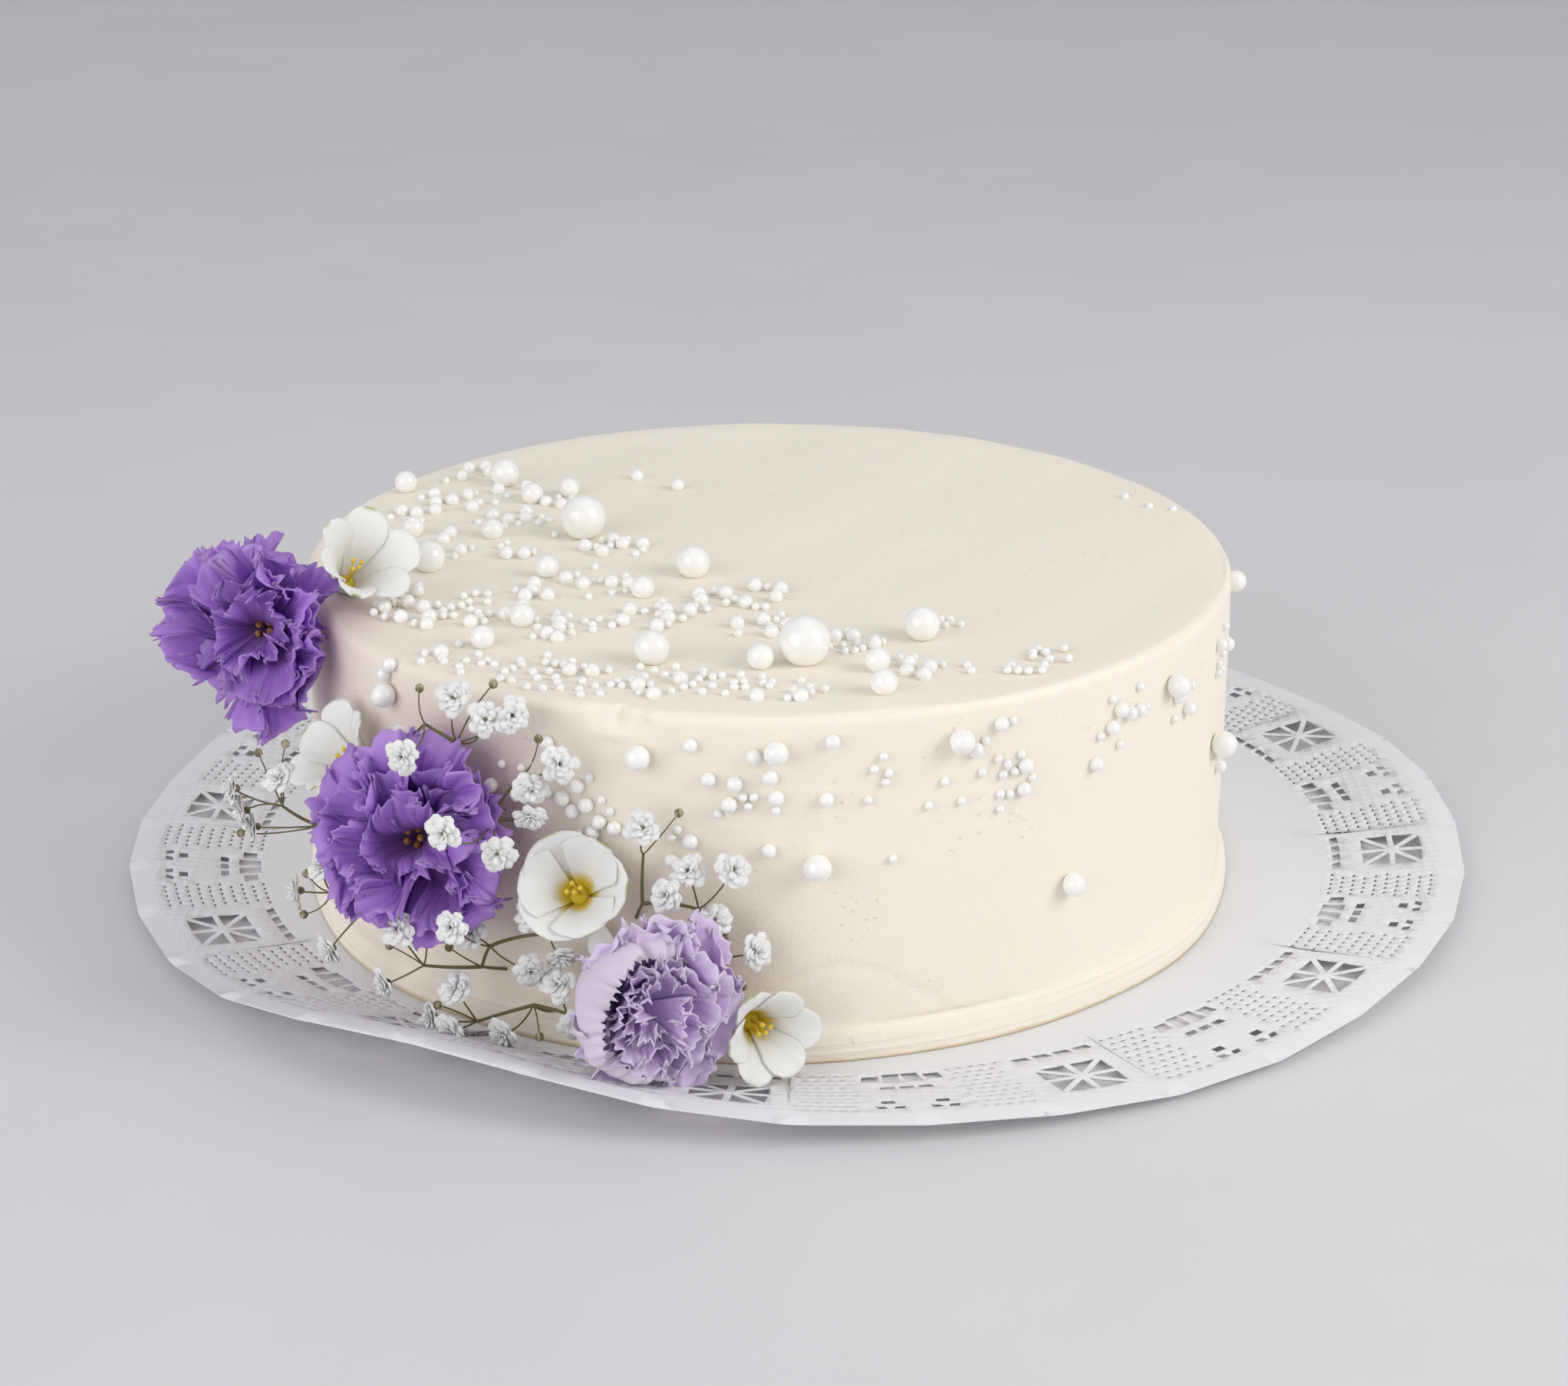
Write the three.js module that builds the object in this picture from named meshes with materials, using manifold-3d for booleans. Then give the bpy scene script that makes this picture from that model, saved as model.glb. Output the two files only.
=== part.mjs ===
// A round buttercream wedding cake on a lace paper doily, with sugar pearls and fresh flowers.
// Millimetres, +Z up. The origin is on the cake's axis at the underside of the doily.
// -Y is the front of the cake, and the flowers climb its left front from -Y towards -X.
import * as THREE from 'three';
import { mergeVertices } from 'three/addons/utils/BufferGeometryUtils.js';
import Module from 'manifold-3d';

const wasm = await Module();
wasm.setup();

// Driving dimensions of the cake and its doily
const CAKE_RADIUS = 125;
const CAKE_HEIGHT = 90;
const LEDGE_OUT = 2.6;
const LEDGE_HEIGHT = 8.4;
const EDGE_ROUNDING = 2.6;
const PAPER = 0.8;
const GAP = 0.3;
const CAKE_FOOT = PAPER + GAP;
const CAKE_TOP = CAKE_FOOT + CAKE_HEIGHT;
const CAKE_SEGMENTS = 48;

const DOILY = { x: 8, y: 17, radius: 188, plain: 146, lobes: 36, lobeDepth: 3.5, turned: -6 };
const DOILY_LIFT = { even: 3.6, corner: 10, cornerAngle: -117, cornerWidth: 22 };

// Small pearls are pressed in by this share of their diameter, large ones by less
const SMALL_PEARL = 4;
const SMALL_PEARL_SINK = 0.22;
const MIDDLE_PEARL = 7.5;
const LARGE_PEARL_SINK = 0.07;

// Large sugar pearls on the top: x, y and diameter
const TOP_PEARLS = [
  [-51, 14, 12.5], [9, -86, 13], [-20, -20, 9], [-29, -86, 9], [-91, -15, 9], [39, -69, 9],
  [-76, 61, 8.4], [-2, -90, 6.8], [28, -108, 6.8], [27, -92, 6.4], [-67, 44, 6.3], [-57, 50, 6],
  [-104, 55, 6.5], [-76, 12, 6], [-98, 14, 6], [-59, -20, 6.2], [-33, -37, 6.2], [-63, -59, 6.4],
  [-72, -75, 6.2],
];

// Large sugar pearls pressed in the side: azimuth in degrees, height above the foot and diameter
const SIDE_PEARLS = [
  [-104.3, 79.5, 6.3], [-89.2, 82, 6], [-68.4, 81.3, 6.3], [-35.3, 78.8, 6.2], [-84.7, 52, 7],
  [-52.9, 36, 6.1], [-19.6, 50.5, 7.1], [-138.7, 80.8, 6.3], [0.5, 81, 6], [38, 58, 7],
  [84, 79, 6.3], [128, 50, 6.3],
];

// Clusters of small pearls on the top: x, y, spread and number
const TOP_CLUSTERS = [
  [-85, 70, 8, 2], [-76, 50, 8, 1], [-90, 42, 9, 2], [-104, 29, 8, 1], [-90, 5, 9, 2],
  [-72, 26, 8, 2], [-41, 4, 7, 2], [-58, -30, 9, 2], [-45, -28, 8, 2], [-90, -50, 10, 3],
  [-72, -48, 10, 2], [-52, -61, 9, 2], [-76, -84, 8, 1], [-30, -55, 8, 2], [-18, -43, 8, 2],
  [-4, -37, 8, 2], [-25, -101, 9, 1], [-2, -61, 8, 2], [10, -108, 6, 1], [22, -73, 6, 1],
  [40, -92, 8, 1],
];

// Clusters of small pearls in the side: azimuth, height above the foot, spread and number
const SIDE_CLUSTERS = [
  [-90, 74, 6, 2], [-93, 69, 5, 2], [-64, 78, 6, 1], [-61, 69, 5, 1], [-45, 76, 7, 2],
  [-32, 71, 5, 1], [-18, 76, 5, 1], [-16, 45, 5, 1], [-112, 64, 7, 2], [-100, 56, 4, 1],
  [20, 73, 6, 1], [60, 70, 6, 1], [95, 70, 6, 1], [140, 72, 7, 1],
];

// Each double lisianthus: its middle as azimuth, height and stand-off, the way it faces, its size
const LISIANTHUS = [
  { azimuth: -159.6, height: 86.5, out: 15.8, faces: [-0.34, -0.88, 0.3], radius: 26, depth: 25,
    ruffle: 3.0, closed: 0, seed: 11 },
  { azimuth: -127.8, height: 55.5, out: 18.6, faces: [-0.24, -0.92, 0.3], radius: 26.5, depth: 26,
    ruffle: 3.2, closed: 0, seed: 29 },
  { azimuth: -102.5, height: 26, out: 22, faces: [0.4, -0.9, 0.1], radius: 21.5, depth: 30,
    ruffle: 1.8, closed: 1, seed: 47 },
];

// Each white freesia: the foot of its tube as azimuth, height and stand-off, the way it faces
const FREESIAS = [
  { azimuth: -163.2, height: 93, out: -8.5, faces: [0.38, -0.62, 0.68], radius: 15, depth: 20 },
  { azimuth: -143.5, height: 56.3, out: 1, faces: [-0.62, -0.42, 0.66], radius: 13, depth: 18 },
  { azimuth: -111.2, height: 42, out: 2.4, faces: [-0.15, -0.8, 0.58], radius: 13.5, depth: 14 },
  { azimuth: -92.5, height: 13.6, out: 3, faces: [0.42, -0.88, 0.1], radius: 12.5, depth: 17 },
];

// Sprays of baby's breath. A point is azimuth, height and stand-off from the side of the cake.
// Each spray has a foot in the icing, forks joined in order, and tips that each grow from a fork.
const SPRAYS = [
  {
    foot: [-118.5, 58, -2],
    forks: [[-119.9, 62, 10], [-124.8, 79, 8], [-128.5, 82.5, 10], [-116.3, 74.5, 9]],
    parents: [-1, 0, 1, 0],
    florets: [[1, -123.1, 93, 14], [1, -119.3, 89.5, 14], [1, -117, 90.5, 11], [2, -130.5, 78, 12],
      [3, -112, 79.5, 10], [3, -114.7, 73, 12], [3, -114.9, 66, 12], [0, -115.9, 60.5, 24]],
    buds: [[2, -129, 91.5, 10], [1, -119.5, 97, 9], [3, -114.3, 85, 9]],
  },
  {
    foot: [-105.4, 36, -2],
    forks: [[-103.4, 44.5, 7], [-103.1, 58, 8], [-97.3, 44.6, 8], [-95.8, 32, 8]],
    parents: [-1, 0, 0, 2],
    florets: [[1, -102.9, 65.5, 10], [2, -98.3, 54.5, 9], [2, -100.2, 50, 13], [2, -93.7, 56, 10],
      [3, -95.6, 42, 9], [3, -97.4, 38, 9], [3, -91.5, 34, 9]],
    buds: [[1, -99.2, 70, 9], [3, -92.7, 24.5, 8], [2, -94.4, 38.6, 10]],
  },
  {
    foot: [-121.5, 16, -2],
    forks: [[-122.5, 20, 8], [-128, 19.5, 15], [-120.4, 28, 11], [-113.6, 34, 9]],
    parents: [-1, 0, 0, 2],
    florets: [[1, -131.6, 13.5, 20], [1, -128.7, 28, 12], [2, -121.3, 33, 16], [3, -115.1, 39.6, 12],
      [3, -112.6, 28, 8], [2, -115.3, 25, 13]],
    buds: [[1, -132.5, 22, 16], [3, -111.5, 39, 8], [0, -125.5, 25, 12]],
  },
  {
    foot: [-114.5, 9, -2],
    forks: [[-116, 13, 8], [-121.5, 8, 14], [-111.8, 13, 9]],
    parents: [-1, 0, 0],
    florets: [[1, -122.6, 18, 19], [1, -122.4, 8, 22], [1, -126.4, 7, 17], [2, -112.4, 21, 11],
      [2, -110.6, 12, 11], [0, -117.8, 7.5, 16]],
    buds: [[1, -124.5, 13, 20], [0, -114, 8, 14]],
  },
  {
    foot: [-137, 23, -2],
    forks: [[-138.5, 27, 10], [-141.5, 29.5, 17]],
    parents: [-1, 0],
    florets: [[1, -146.7, 26, 20], [0, -140.5, 15.5, 20], [1, -142.6, 36, 18]],
    buds: [[1, -145.6, 20.5, 20], [1, -144.5, 33, 20]],
  },
  {
    foot: [-143.5, 41, -2],
    forks: [[-145.4, 44, 14], [-147.5, 49.5, 22]],
    parents: [-1, 0],
    florets: [[1, -151.4, 52.5, 31], [1, -147.4, 57, 23], [1, -151, 46.4, 29], [0, -150.4, 42, 27]],
    buds: [[1, -150.1, 62.5, 25], [1, -148.6, 65, 19], [0, -152.2, 39, 29]],
  },
];
const STEM_RADIUS = 0.65;
const BENT_STEM = 14;
const FLORET_RADIUS = 4.4;
const BUD_RADIUS = 1.6;
const FORK_RADIUS = 1.5;
const PETAL = 0.7;

// The small bud beside the lowest lisianthus
const BUD = { azimuth: -108.6, height: 31, out: 4, length: 11, radius: 3.6 };

const COLOURS = {
  icing: 0xece5d6, paper: 0xf1f1f2, pearl: 0xf1ece2, violet: 0x7b52a8, lilac: 0xa78bc8,
  white: 0xf2f0ea, green: 0x7c8358,
};

// Solids and meshes

function toSolid(geometry) {
  const bare = geometry.clone();
  bare.deleteAttribute('normal');
  bare.deleteAttribute('uv');
  const merged = mergeVertices(bare, 1e-4);
  const corners = merged.index.array;
  const kept = [];
  for (let i = 0; i < corners.length; i += 3) {
    const [a, b, c] = corners.slice(i, i + 3);
    if (a !== b && b !== c && c !== a) kept.push(a, b, c);
  }
  return new wasm.Manifold(new wasm.Mesh({
    numProp: 3,
    vertProperties: new Float32Array(merged.attributes.position.array),
    triVerts: new Uint32Array(kept),
  }));
}

function toGeometry(solid) {
  const mesh = solid.getMesh();
  const geometry = new THREE.BufferGeometry();
  geometry.setAttribute('position', new THREE.BufferAttribute(mesh.vertProperties, 3));
  geometry.setIndex(new THREE.BufferAttribute(mesh.triVerts, 1));
  return geometry;
}

function joined(solids) {
  return solids.reduce((whole, solid) => whole.add(solid));
}

function largestBody(solid) {
  const bodies = solid.decompose();
  return bodies.reduce((best, body) => (body.volume() > best.volume() ? body : best));
}

function overlaps(solid, others) {
  return others.some((other) => solid.intersect(other).volume() > 0);
}

// The same seeded draw gives the same cake each time
function seededDraw(seed) {
  let state = seed;
  return () => {
    state = (state * 16807) % 2147483647;
    return state / 2147483647;
  };
}

// Places

function onSide(azimuth, height, out) {
  const angle = THREE.MathUtils.degToRad(azimuth);
  const distance = CAKE_RADIUS + out;
  return new THREE.Vector3(distance * Math.cos(angle), distance * Math.sin(angle), height);
}

function placeFacing(point, faces) {
  const up = new THREE.Vector3(0, 0, 1);
  const axis = new THREE.Vector3(...faces).normalize();
  const side = new THREE.Vector3().crossVectors(up, axis).normalize();
  const rise = new THREE.Vector3().crossVectors(axis, side);
  return new THREE.Matrix4().makeBasis(side, rise, axis).setPosition(point);
}

// The iced cake

function sideWobble(angle, height) {
  return 0.35 * Math.sin(2 * angle + 0.6) + 0.25 * Math.sin(3 * angle + height / 34)
    + 0.12 * Math.sin(7 * angle - height / 15);
}

function cakeProfile() {
  const foot = CAKE_FOOT;
  const ledge = CAKE_RADIUS + LEDGE_OUT;
  const points = [[0, foot], [ledge - 1.2, foot], [ledge, foot + 1], [ledge - 0.7, foot + 3.4],
    [ledge - 0.1, foot + 5.4], [ledge - 0.6, foot + LEDGE_HEIGHT - 0.6],
    [CAKE_RADIUS - 0.3, foot + LEDGE_HEIGHT], [CAKE_RADIUS, foot + 40]];
  for (const turn of [0, 30, 60, 90]) {
    const angle = THREE.MathUtils.degToRad(turn);
    points.push([
      CAKE_RADIUS - EDGE_ROUNDING * (1 - Math.cos(angle)),
      CAKE_TOP - EDGE_ROUNDING * (1 - Math.sin(angle)),
    ]);
  }
  points.push([0, CAKE_TOP]);
  return points;
}

function cakeBody(grow) {
  const profile = cakeProfile().map(([radius, height], i, all) => {
    const out = radius > 0 ? radius + grow : 0;
    const top = i >= all.length - 4 ? grow : 0;
    return new THREE.Vector2(out, height + (i < 2 ? -grow : top));
  });
  const body = new THREE.LatheGeometry(profile, CAKE_SEGMENTS);
  body.rotateX(Math.PI / 2);
  const places = body.attributes.position;
  for (let i = 0; i < places.count; i += 1) {
    const x = places.getX(i);
    const y = places.getY(i);
    const radius = Math.hypot(x, y);
    if (radius > CAKE_RADIUS / 2) {
      const scale = 1 + sideWobble(Math.atan2(y, x), places.getZ(i)) / radius;
      places.setXY(i, x * scale, y * scale);
    }
  }
  return toSolid(body);
}

// The knock in the top edge at the front left
function edgeKnock() {
  const knock = new THREE.SphereGeometry(1, 8, 5);
  knock.scale(6.5, 2.6, 2.4);
  knock.rotateZ(THREE.MathUtils.degToRad(-108 + 90));
  const place = onSide(-108, CAKE_TOP + 0.4, 0.8);
  knock.translate(place.x, place.y, place.z);
  return toSolid(knock);
}

function ballAt(place, diameter) {
  const ball = new THREE.IcosahedronGeometry(diameter / 2, 0);
  ball.translate(place.x, place.y, place.z);
  return toSolid(ball);
}

function pearlAt(place, diameter) {
  const around = diameter > MIDDLE_PEARL ? 8 : 7;
  const pearl = new THREE.SphereGeometry(diameter / 2, around, Math.ceil(around / 1.6));
  pearl.translate(place.x, place.y, place.z);
  return toSolid(pearl);
}

function topPlace(x, y, diameter, sink) {
  return new THREE.Vector3(x, y, CAKE_TOP + diameter * (0.5 - sink));
}

function sidePlace(azimuth, height, diameter, sink) {
  const wobble = sideWobble(THREE.MathUtils.degToRad(azimuth), CAKE_FOOT + height);
  return onSide(azimuth, CAKE_FOOT + height, wobble + diameter * (0.5 - sink));
}

function largePearls() {
  const top = TOP_PEARLS.map(([x, y, diameter]) => (
    { place: topPlace(x, y, diameter, LARGE_PEARL_SINK), diameter }));
  const side = SIDE_PEARLS.map(([azimuth, height, diameter]) => (
    { place: sidePlace(azimuth, height, diameter, LARGE_PEARL_SINK), diameter }));
  return { top, side };
}

// Small pearls lie in clusters, clear of each other, of the large ones and of the flowers
function smallPearlPlaces(taken, flowers) {
  const draw = seededDraw(2024);
  const places = [];
  const clear = (place) => (
    taken.every((pearl) => place.distanceTo(pearl.place) > (pearl.diameter + SMALL_PEARL) / 2 + 1)
    && places.every((other) => place.distanceTo(other) > SMALL_PEARL + 0.4)
    && !overlaps(ballAt(place, SMALL_PEARL + 2), flowers));
  const scatter = (number, placeAt) => {
    for (let i = 0; i < number; i += 1) {
      const angle = 2 * Math.PI * draw();
      const share = Math.sqrt(draw());
      const place = placeAt(share * Math.cos(angle), share * Math.sin(angle));
      if (clear(place)) places.push(place);
    }
  };
  for (const [x, y, spread, number] of TOP_CLUSTERS) {
    scatter(number, (a, b) => (
      topPlace(x + spread * a, y + spread * b, SMALL_PEARL, SMALL_PEARL_SINK)));
  }
  const degreesPerMillimetre = THREE.MathUtils.radToDeg(1 / CAKE_RADIUS);
  for (const [azimuth, height, spread, number] of SIDE_CLUSTERS) {
    scatter(number, (a, b) => sidePlace(
      azimuth + spread * a * degreesPerMillimetre, height + spread * b,
      SMALL_PEARL, SMALL_PEARL_SINK));
  }
  return places;
}

function cake(taken, flowers) {
  const bare = cakeBody(0).subtract(edgeKnock());
  const small = smallPearlPlaces(taken, flowers).map((place) => ballAt(place, SMALL_PEARL));
  return joined([bare, ...small]);
}

// The doily

function doilyLift(x, y) {
  const dx = x - DOILY.x;
  const dy = y - DOILY.y;
  const share = THREE.MathUtils.smoothstep(Math.hypot(dx, dy), DOILY.plain, DOILY.radius);
  const angle = Math.atan2(dy, dx);
  const corner = (THREE.MathUtils.radToDeg(angle) - DOILY_LIFT.cornerAngle) / DOILY_LIFT.cornerWidth;
  const waves = DOILY_LIFT.even + 1.2 * Math.sin(3 * angle + 1) + 0.9 * Math.sin(8 * angle);
  return share * (waves + DOILY_LIFT.corner * Math.exp(-corner * corner));
}

function lobeRadius(angle) {
  return DOILY.radius - DOILY.lobeDepth * (1 - Math.abs(Math.sin((DOILY.lobes / 2) * angle)));
}

function polarPoint(radius, angle) {
  return new THREE.Vector2(radius * Math.cos(angle), radius * Math.sin(angle));
}

// One sector of the lace border, from the crest of one lobe to the next.
// Every third sector has four kite-shaped holes.
function borderSector(number) {
  const turn = (2 * Math.PI) / DOILY.lobes;
  const start = (number - 0.5) * turn;
  const outline = [polarPoint(DOILY.plain, start)];
  const lobeSteps = 3;
  for (let i = 0; i <= lobeSteps; i += 1) {
    const angle = start + (i * turn) / lobeSteps;
    outline.push(polarPoint(lobeRadius(angle), angle));
  }
  outline.push(polarPoint(DOILY.plain, start + turn));
  const holes = [];
  if (number % 3 === 0) {
    const middle = number * turn;
    const centre = DOILY.radius - 22;
    for (const [across, along] of [[0, 7.5], [0, -7.5], [8, 0], [-8, 0]]) {
      const radius = centre + along;
      const angle = middle + across / radius;
      const half = 2.6 / radius;
      holes.push([polarPoint(radius - 3.6, angle), polarPoint(radius, angle - half),
        polarPoint(radius + 3.6, angle), polarPoint(radius, angle + half)]);
    }
  }
  return { outline, holes };
}

function doily(grow) {
  const positions = [];
  const origin = new THREE.Vector2(0, 0);
  const corner = (point, top) => {
    const turned = point.clone().rotateAround(origin, THREE.MathUtils.degToRad(DOILY.turned));
    const x = DOILY.x + turned.x;
    const y = DOILY.y + turned.y;
    positions.push(x, y, doilyLift(x, y) + (top ? PAPER + grow : -grow));
  };
  const face = (a, b, c) => {
    [a, b, c].forEach((point) => corner(point, true));
    [c, b, a].forEach((point) => corner(point, false));
  };
  const wall = (from, to) => {
    corner(from, false);
    corner(to, false);
    corner(to, true);
    corner(from, false);
    corner(to, true);
    corner(from, true);
  };
  for (let number = 0; number < DOILY.lobes; number += 1) {
    const { outline, holes } = borderSector(number);
    face(origin, outline[0], outline[outline.length - 1]);
    const points = [...outline, ...holes.flat()];
    for (const [a, b, c] of THREE.ShapeUtils.triangulateShape(outline, holes)) {
      face(points[a], points[b], points[c]);
    }
    for (let i = 1; i < outline.length - 2; i += 1) wall(outline[i], outline[i + 1]);
    for (const hole of holes) {
      hole.forEach((point, i) => wall(hole[(i + 1) % hole.length], point));
    }
  }
  const geometry = new THREE.BufferGeometry();
  geometry.setAttribute('position', new THREE.Float32BufferAttribute(positions, 3));
  return toSolid(geometry);
}

// Petals

// A whorl of petals is one thin bowl. It opens from the throat to a lobed rim that is ruffled.
function whorlPoint(whorl, angle, along) {
  const lobe = Math.abs(Math.sin((whorl.lobes / 2) * angle + whorl.turn));
  const reach = along * (1 - whorl.notch * (1 - lobe) ** 2);
  const slope = 1 - whorl.flare + 2 * whorl.flare * reach;
  const climb = 1.6 - 1.2 * reach;
  const radius = whorl.throat
    + (whorl.radius - whorl.throat) * reach * (1 - whorl.flare + whorl.flare * reach);
  const height = whorl.foot + whorl.depth * reach * (1.6 - 0.6 * reach);
  const length = Math.hypot(whorl.radius * slope, whorl.depth * climb);
  const wave = Math.sin(whorl.waves * angle + whorl.phase)
    + 0.35 * Math.sin((2 * whorl.waves + 1) * angle + 1.7 * whorl.phase);
  const ripple = (whorl.ruffle * reach * reach * wave) / length;
  const outward = radius - ripple * whorl.depth * climb;
  return new THREE.Vector3(
    outward * Math.cos(angle),
    outward * Math.sin(angle),
    height + ripple * whorl.radius * slope,
  );
}

function whorlNormal(whorl, angle, along) {
  const step = 0.02;
  const round = whorlPoint(whorl, angle + step, along).sub(whorlPoint(whorl, angle - step, along));
  const outward = whorlPoint(whorl, angle, along + step)
    .sub(whorlPoint(whorl, angle, Math.max(along - step, 0)));
  return round.cross(outward).normalize();
}

// Both faces of the bowl on one grid, closed by a rim at the throat and one at the lobes
function whorlSolid(whorl, grow) {
  const { around, rows } = whorl;
  const longest = 1 + (grow > 0 ? 0.03 : 0);
  const layer = around * (rows + 1);
  const positions = [];
  for (const side of [0.5, -0.5]) {
    for (let i = 0; i < layer; i += 1) {
      const angle = (2 * Math.PI * (i % around)) / around;
      const along = (Math.floor(i / around) / rows) * longest;
      const shift = side * (PETAL + 2 * grow);
      const point = whorlPoint(whorl, angle, along)
        .addScaledVector(whorlNormal(whorl, angle, along), shift);
      positions.push(point.x, point.y, point.z);
    }
  }
  const index = [];
  const quad = (a, b, c, d) => index.push(a, b, c, a, c, d);
  for (let i = 0; i < around; i += 1) {
    const next = (i + 1) % around;
    for (let j = 0; j < rows; j += 1) {
      const [a, b, c, d] = [j * around + i, j * around + next, (j + 1) * around + next,
        (j + 1) * around + i];
      quad(a, b, c, d);
      quad(layer + a, layer + d, layer + c, layer + b);
    }
    const rim = rows * around;
    quad(next, i, layer + i, layer + next);
    quad(rim + i, rim + next, layer + rim + next, layer + rim + i);
  }
  const geometry = new THREE.BufferGeometry();
  geometry.setAttribute('position', new THREE.Float32BufferAttribute(positions, 3));
  geometry.setIndex(index);
  return geometry;
}

// Three whorls round a dense heart
function lisianthusWhorls(flower) {
  const draw = seededDraw(flower.seed);
  const open = 1 - flower.closed;
  const whorls = [
    { radius: 1, depth: 0.62 + 0.2 * flower.closed, throat: 4, foot: 0, around: 20, rows: 2,
      waves: 7 },
    { radius: 0.72, depth: 0.6, throat: 2.5, foot: 0.26, around: 15, rows: 2, waves: 5 },
    { radius: 0.36, depth: 0.5, throat: 1.2, foot: 0.46, around: 8, rows: 1, waves: 3 },
  ];
  return whorls.map((whorl, ring) => ({
    ...whorl,
    radius: flower.radius * whorl.radius,
    depth: flower.depth * whorl.depth,
    foot: flower.depth * whorl.foot,
    lobes: 5,
    turn: 3 * draw(),
    notch: 0.3,
    flare: 0.35 + 0.25 * open,
    ruffle: flower.ruffle * (ring === 0 ? 0.6 + 0.3 * open : 0.6),
    phase: 6 * draw(),
  }));
}

function lisianthusPlace(flower) {
  const middle = onSide(flower.azimuth, flower.height, flower.out);
  const axis = new THREE.Vector3(...flower.faces).normalize();
  return placeFacing(middle.addScaledVector(axis, -flower.depth * 0.5), flower.faces);
}

function lisianthus(flower, grow) {
  const cup = new THREE.SphereGeometry(1, 7, 4);
  cup.rotateX(Math.PI / 2);
  cup.scale(6, 6, flower.depth * 0.36);
  cup.translate(0, 0, flower.depth * 0.28);
  const shapes = [cup, ...lisianthusWhorls(flower).map((whorl) => whorlSolid(whorl, grow))];
  const place = lisianthusPlace(flower);
  return joined(shapes.map((shape) => toSolid(shape.applyMatrix4(place))));
}

// Six petals open from a tapered tube
function freesiaBowl(flower) {
  return {
    radius: flower.radius,
    depth: flower.depth,
    foot: 0,
    around: 18,
    rows: 2,
    lobes: 6,
    turn: 0,
    notch: 0.42,
    throat: 2,
    flare: 0.3,
    ruffle: 0.5,
    waves: 3,
    phase: 0,
  };
}

function freesiaPlace(flower) {
  return placeFacing(onSide(flower.azimuth, flower.height, flower.out), flower.faces);
}

function freesia(flower, grow) {
  const tube = new THREE.CylinderGeometry(4.6, 1.4, 10, 6);
  tube.rotateX(Math.PI / 2);
  const shapes = [tube, whorlSolid(freesiaBowl(flower), grow)];
  const place = freesiaPlace(flower);
  return joined(shapes.map((shape) => toSolid(shape.applyMatrix4(place))));
}

function bud() {
  const shape = new THREE.SphereGeometry(1, 7, 5);
  shape.scale(BUD.radius, BUD.radius, BUD.length / 2);
  const place = onSide(BUD.azimuth, BUD.height, BUD.out);
  shape.translate(place.x, place.y, place.z);
  return toSolid(shape);
}

// Baby's breath

function stem(from, to) {
  const bend = new THREE.Vector3().lerpVectors(from, to, 0.5);
  const away = new THREE.Vector3(bend.x, bend.y, 0).normalize();
  bend.addScaledVector(away, from.distanceTo(to) * 0.08);
  const past = new THREE.Vector3().subVectors(to, from).setLength(STEM_RADIUS * 0.6).add(to);
  const path = new THREE.CatmullRomCurve3([from, bend, past]);
  const section = new THREE.Shape([0, 120, 240].map((degrees) => (
    polarPoint(STEM_RADIUS, THREE.MathUtils.degToRad(degrees)))));
  const steps = from.distanceTo(to) > BENT_STEM ? 2 : 1;
  const options = { steps, extrudePath: path, bevelEnabled: false };
  return toSolid(new THREE.ExtrudeGeometry(section, options));
}

// A crumpled ball of petals, flatter along the way that it faces
function floret(place, turn) {
  const ball = new THREE.IcosahedronGeometry(FLORET_RADIUS, 0);
  ball.deleteAttribute('normal');
  ball.deleteAttribute('uv');
  const crumpled = mergeVertices(ball, 1e-4);
  const points = crumpled.attributes.position;
  for (let i = 0; i < points.count; i += 1) {
    const scale = i % 2 === 0 ? 1.08 : 0.82;
    points.setXYZ(i, points.getX(i) * scale, points.getY(i) * scale * 0.75, points.getZ(i) * scale);
  }
  crumpled.rotateZ(turn);
  crumpled.translate(place.x, place.y, place.z);
  return toSolid(crumpled);
}

// A bud at a tip, or the knot where stems fork
function knobAt(place, radius) {
  const knob = new THREE.OctahedronGeometry(radius, 0);
  knob.scale(0.9, 0.9, 1.2);
  knob.translate(place.x, place.y, place.z);
  return toSolid(knob);
}

function spray(design, blocked) {
  const foot = onSide(...design.foot);
  const forks = design.forks.map((fork) => onSide(...fork));
  const starts = design.parents.map((parent) => (parent < 0 ? foot : forks[parent]));
  const solids = forks.flatMap((fork, i) => [stem(starts[i], fork), knobAt(fork, FORK_RADIUS)]);
  design.florets.forEach(([from, ...tip], i) => {
    const place = onSide(...tip);
    const head = floret(place, THREE.MathUtils.degToRad(tip[0]) + i);
    if (!overlaps(head, blocked)) solids.push(stem(forks[from], place), head);
  });
  for (const [from, ...tip] of design.buds) {
    const place = onSide(...tip);
    const head = knobAt(place, BUD_RADIUS);
    if (!overlaps(head, blocked)) solids.push(stem(forks[from], place), head);
  }
  return blocked.reduce((whole, solid) => largestBody(whole.subtract(solid)), joined(solids));
}

// The whole arrangement, built from the doily up so that each piece clears those before it

function material(colour, roughness) {
  return new THREE.MeshStandardMaterial({ color: colour, roughness, metalness: 0 });
}

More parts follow.
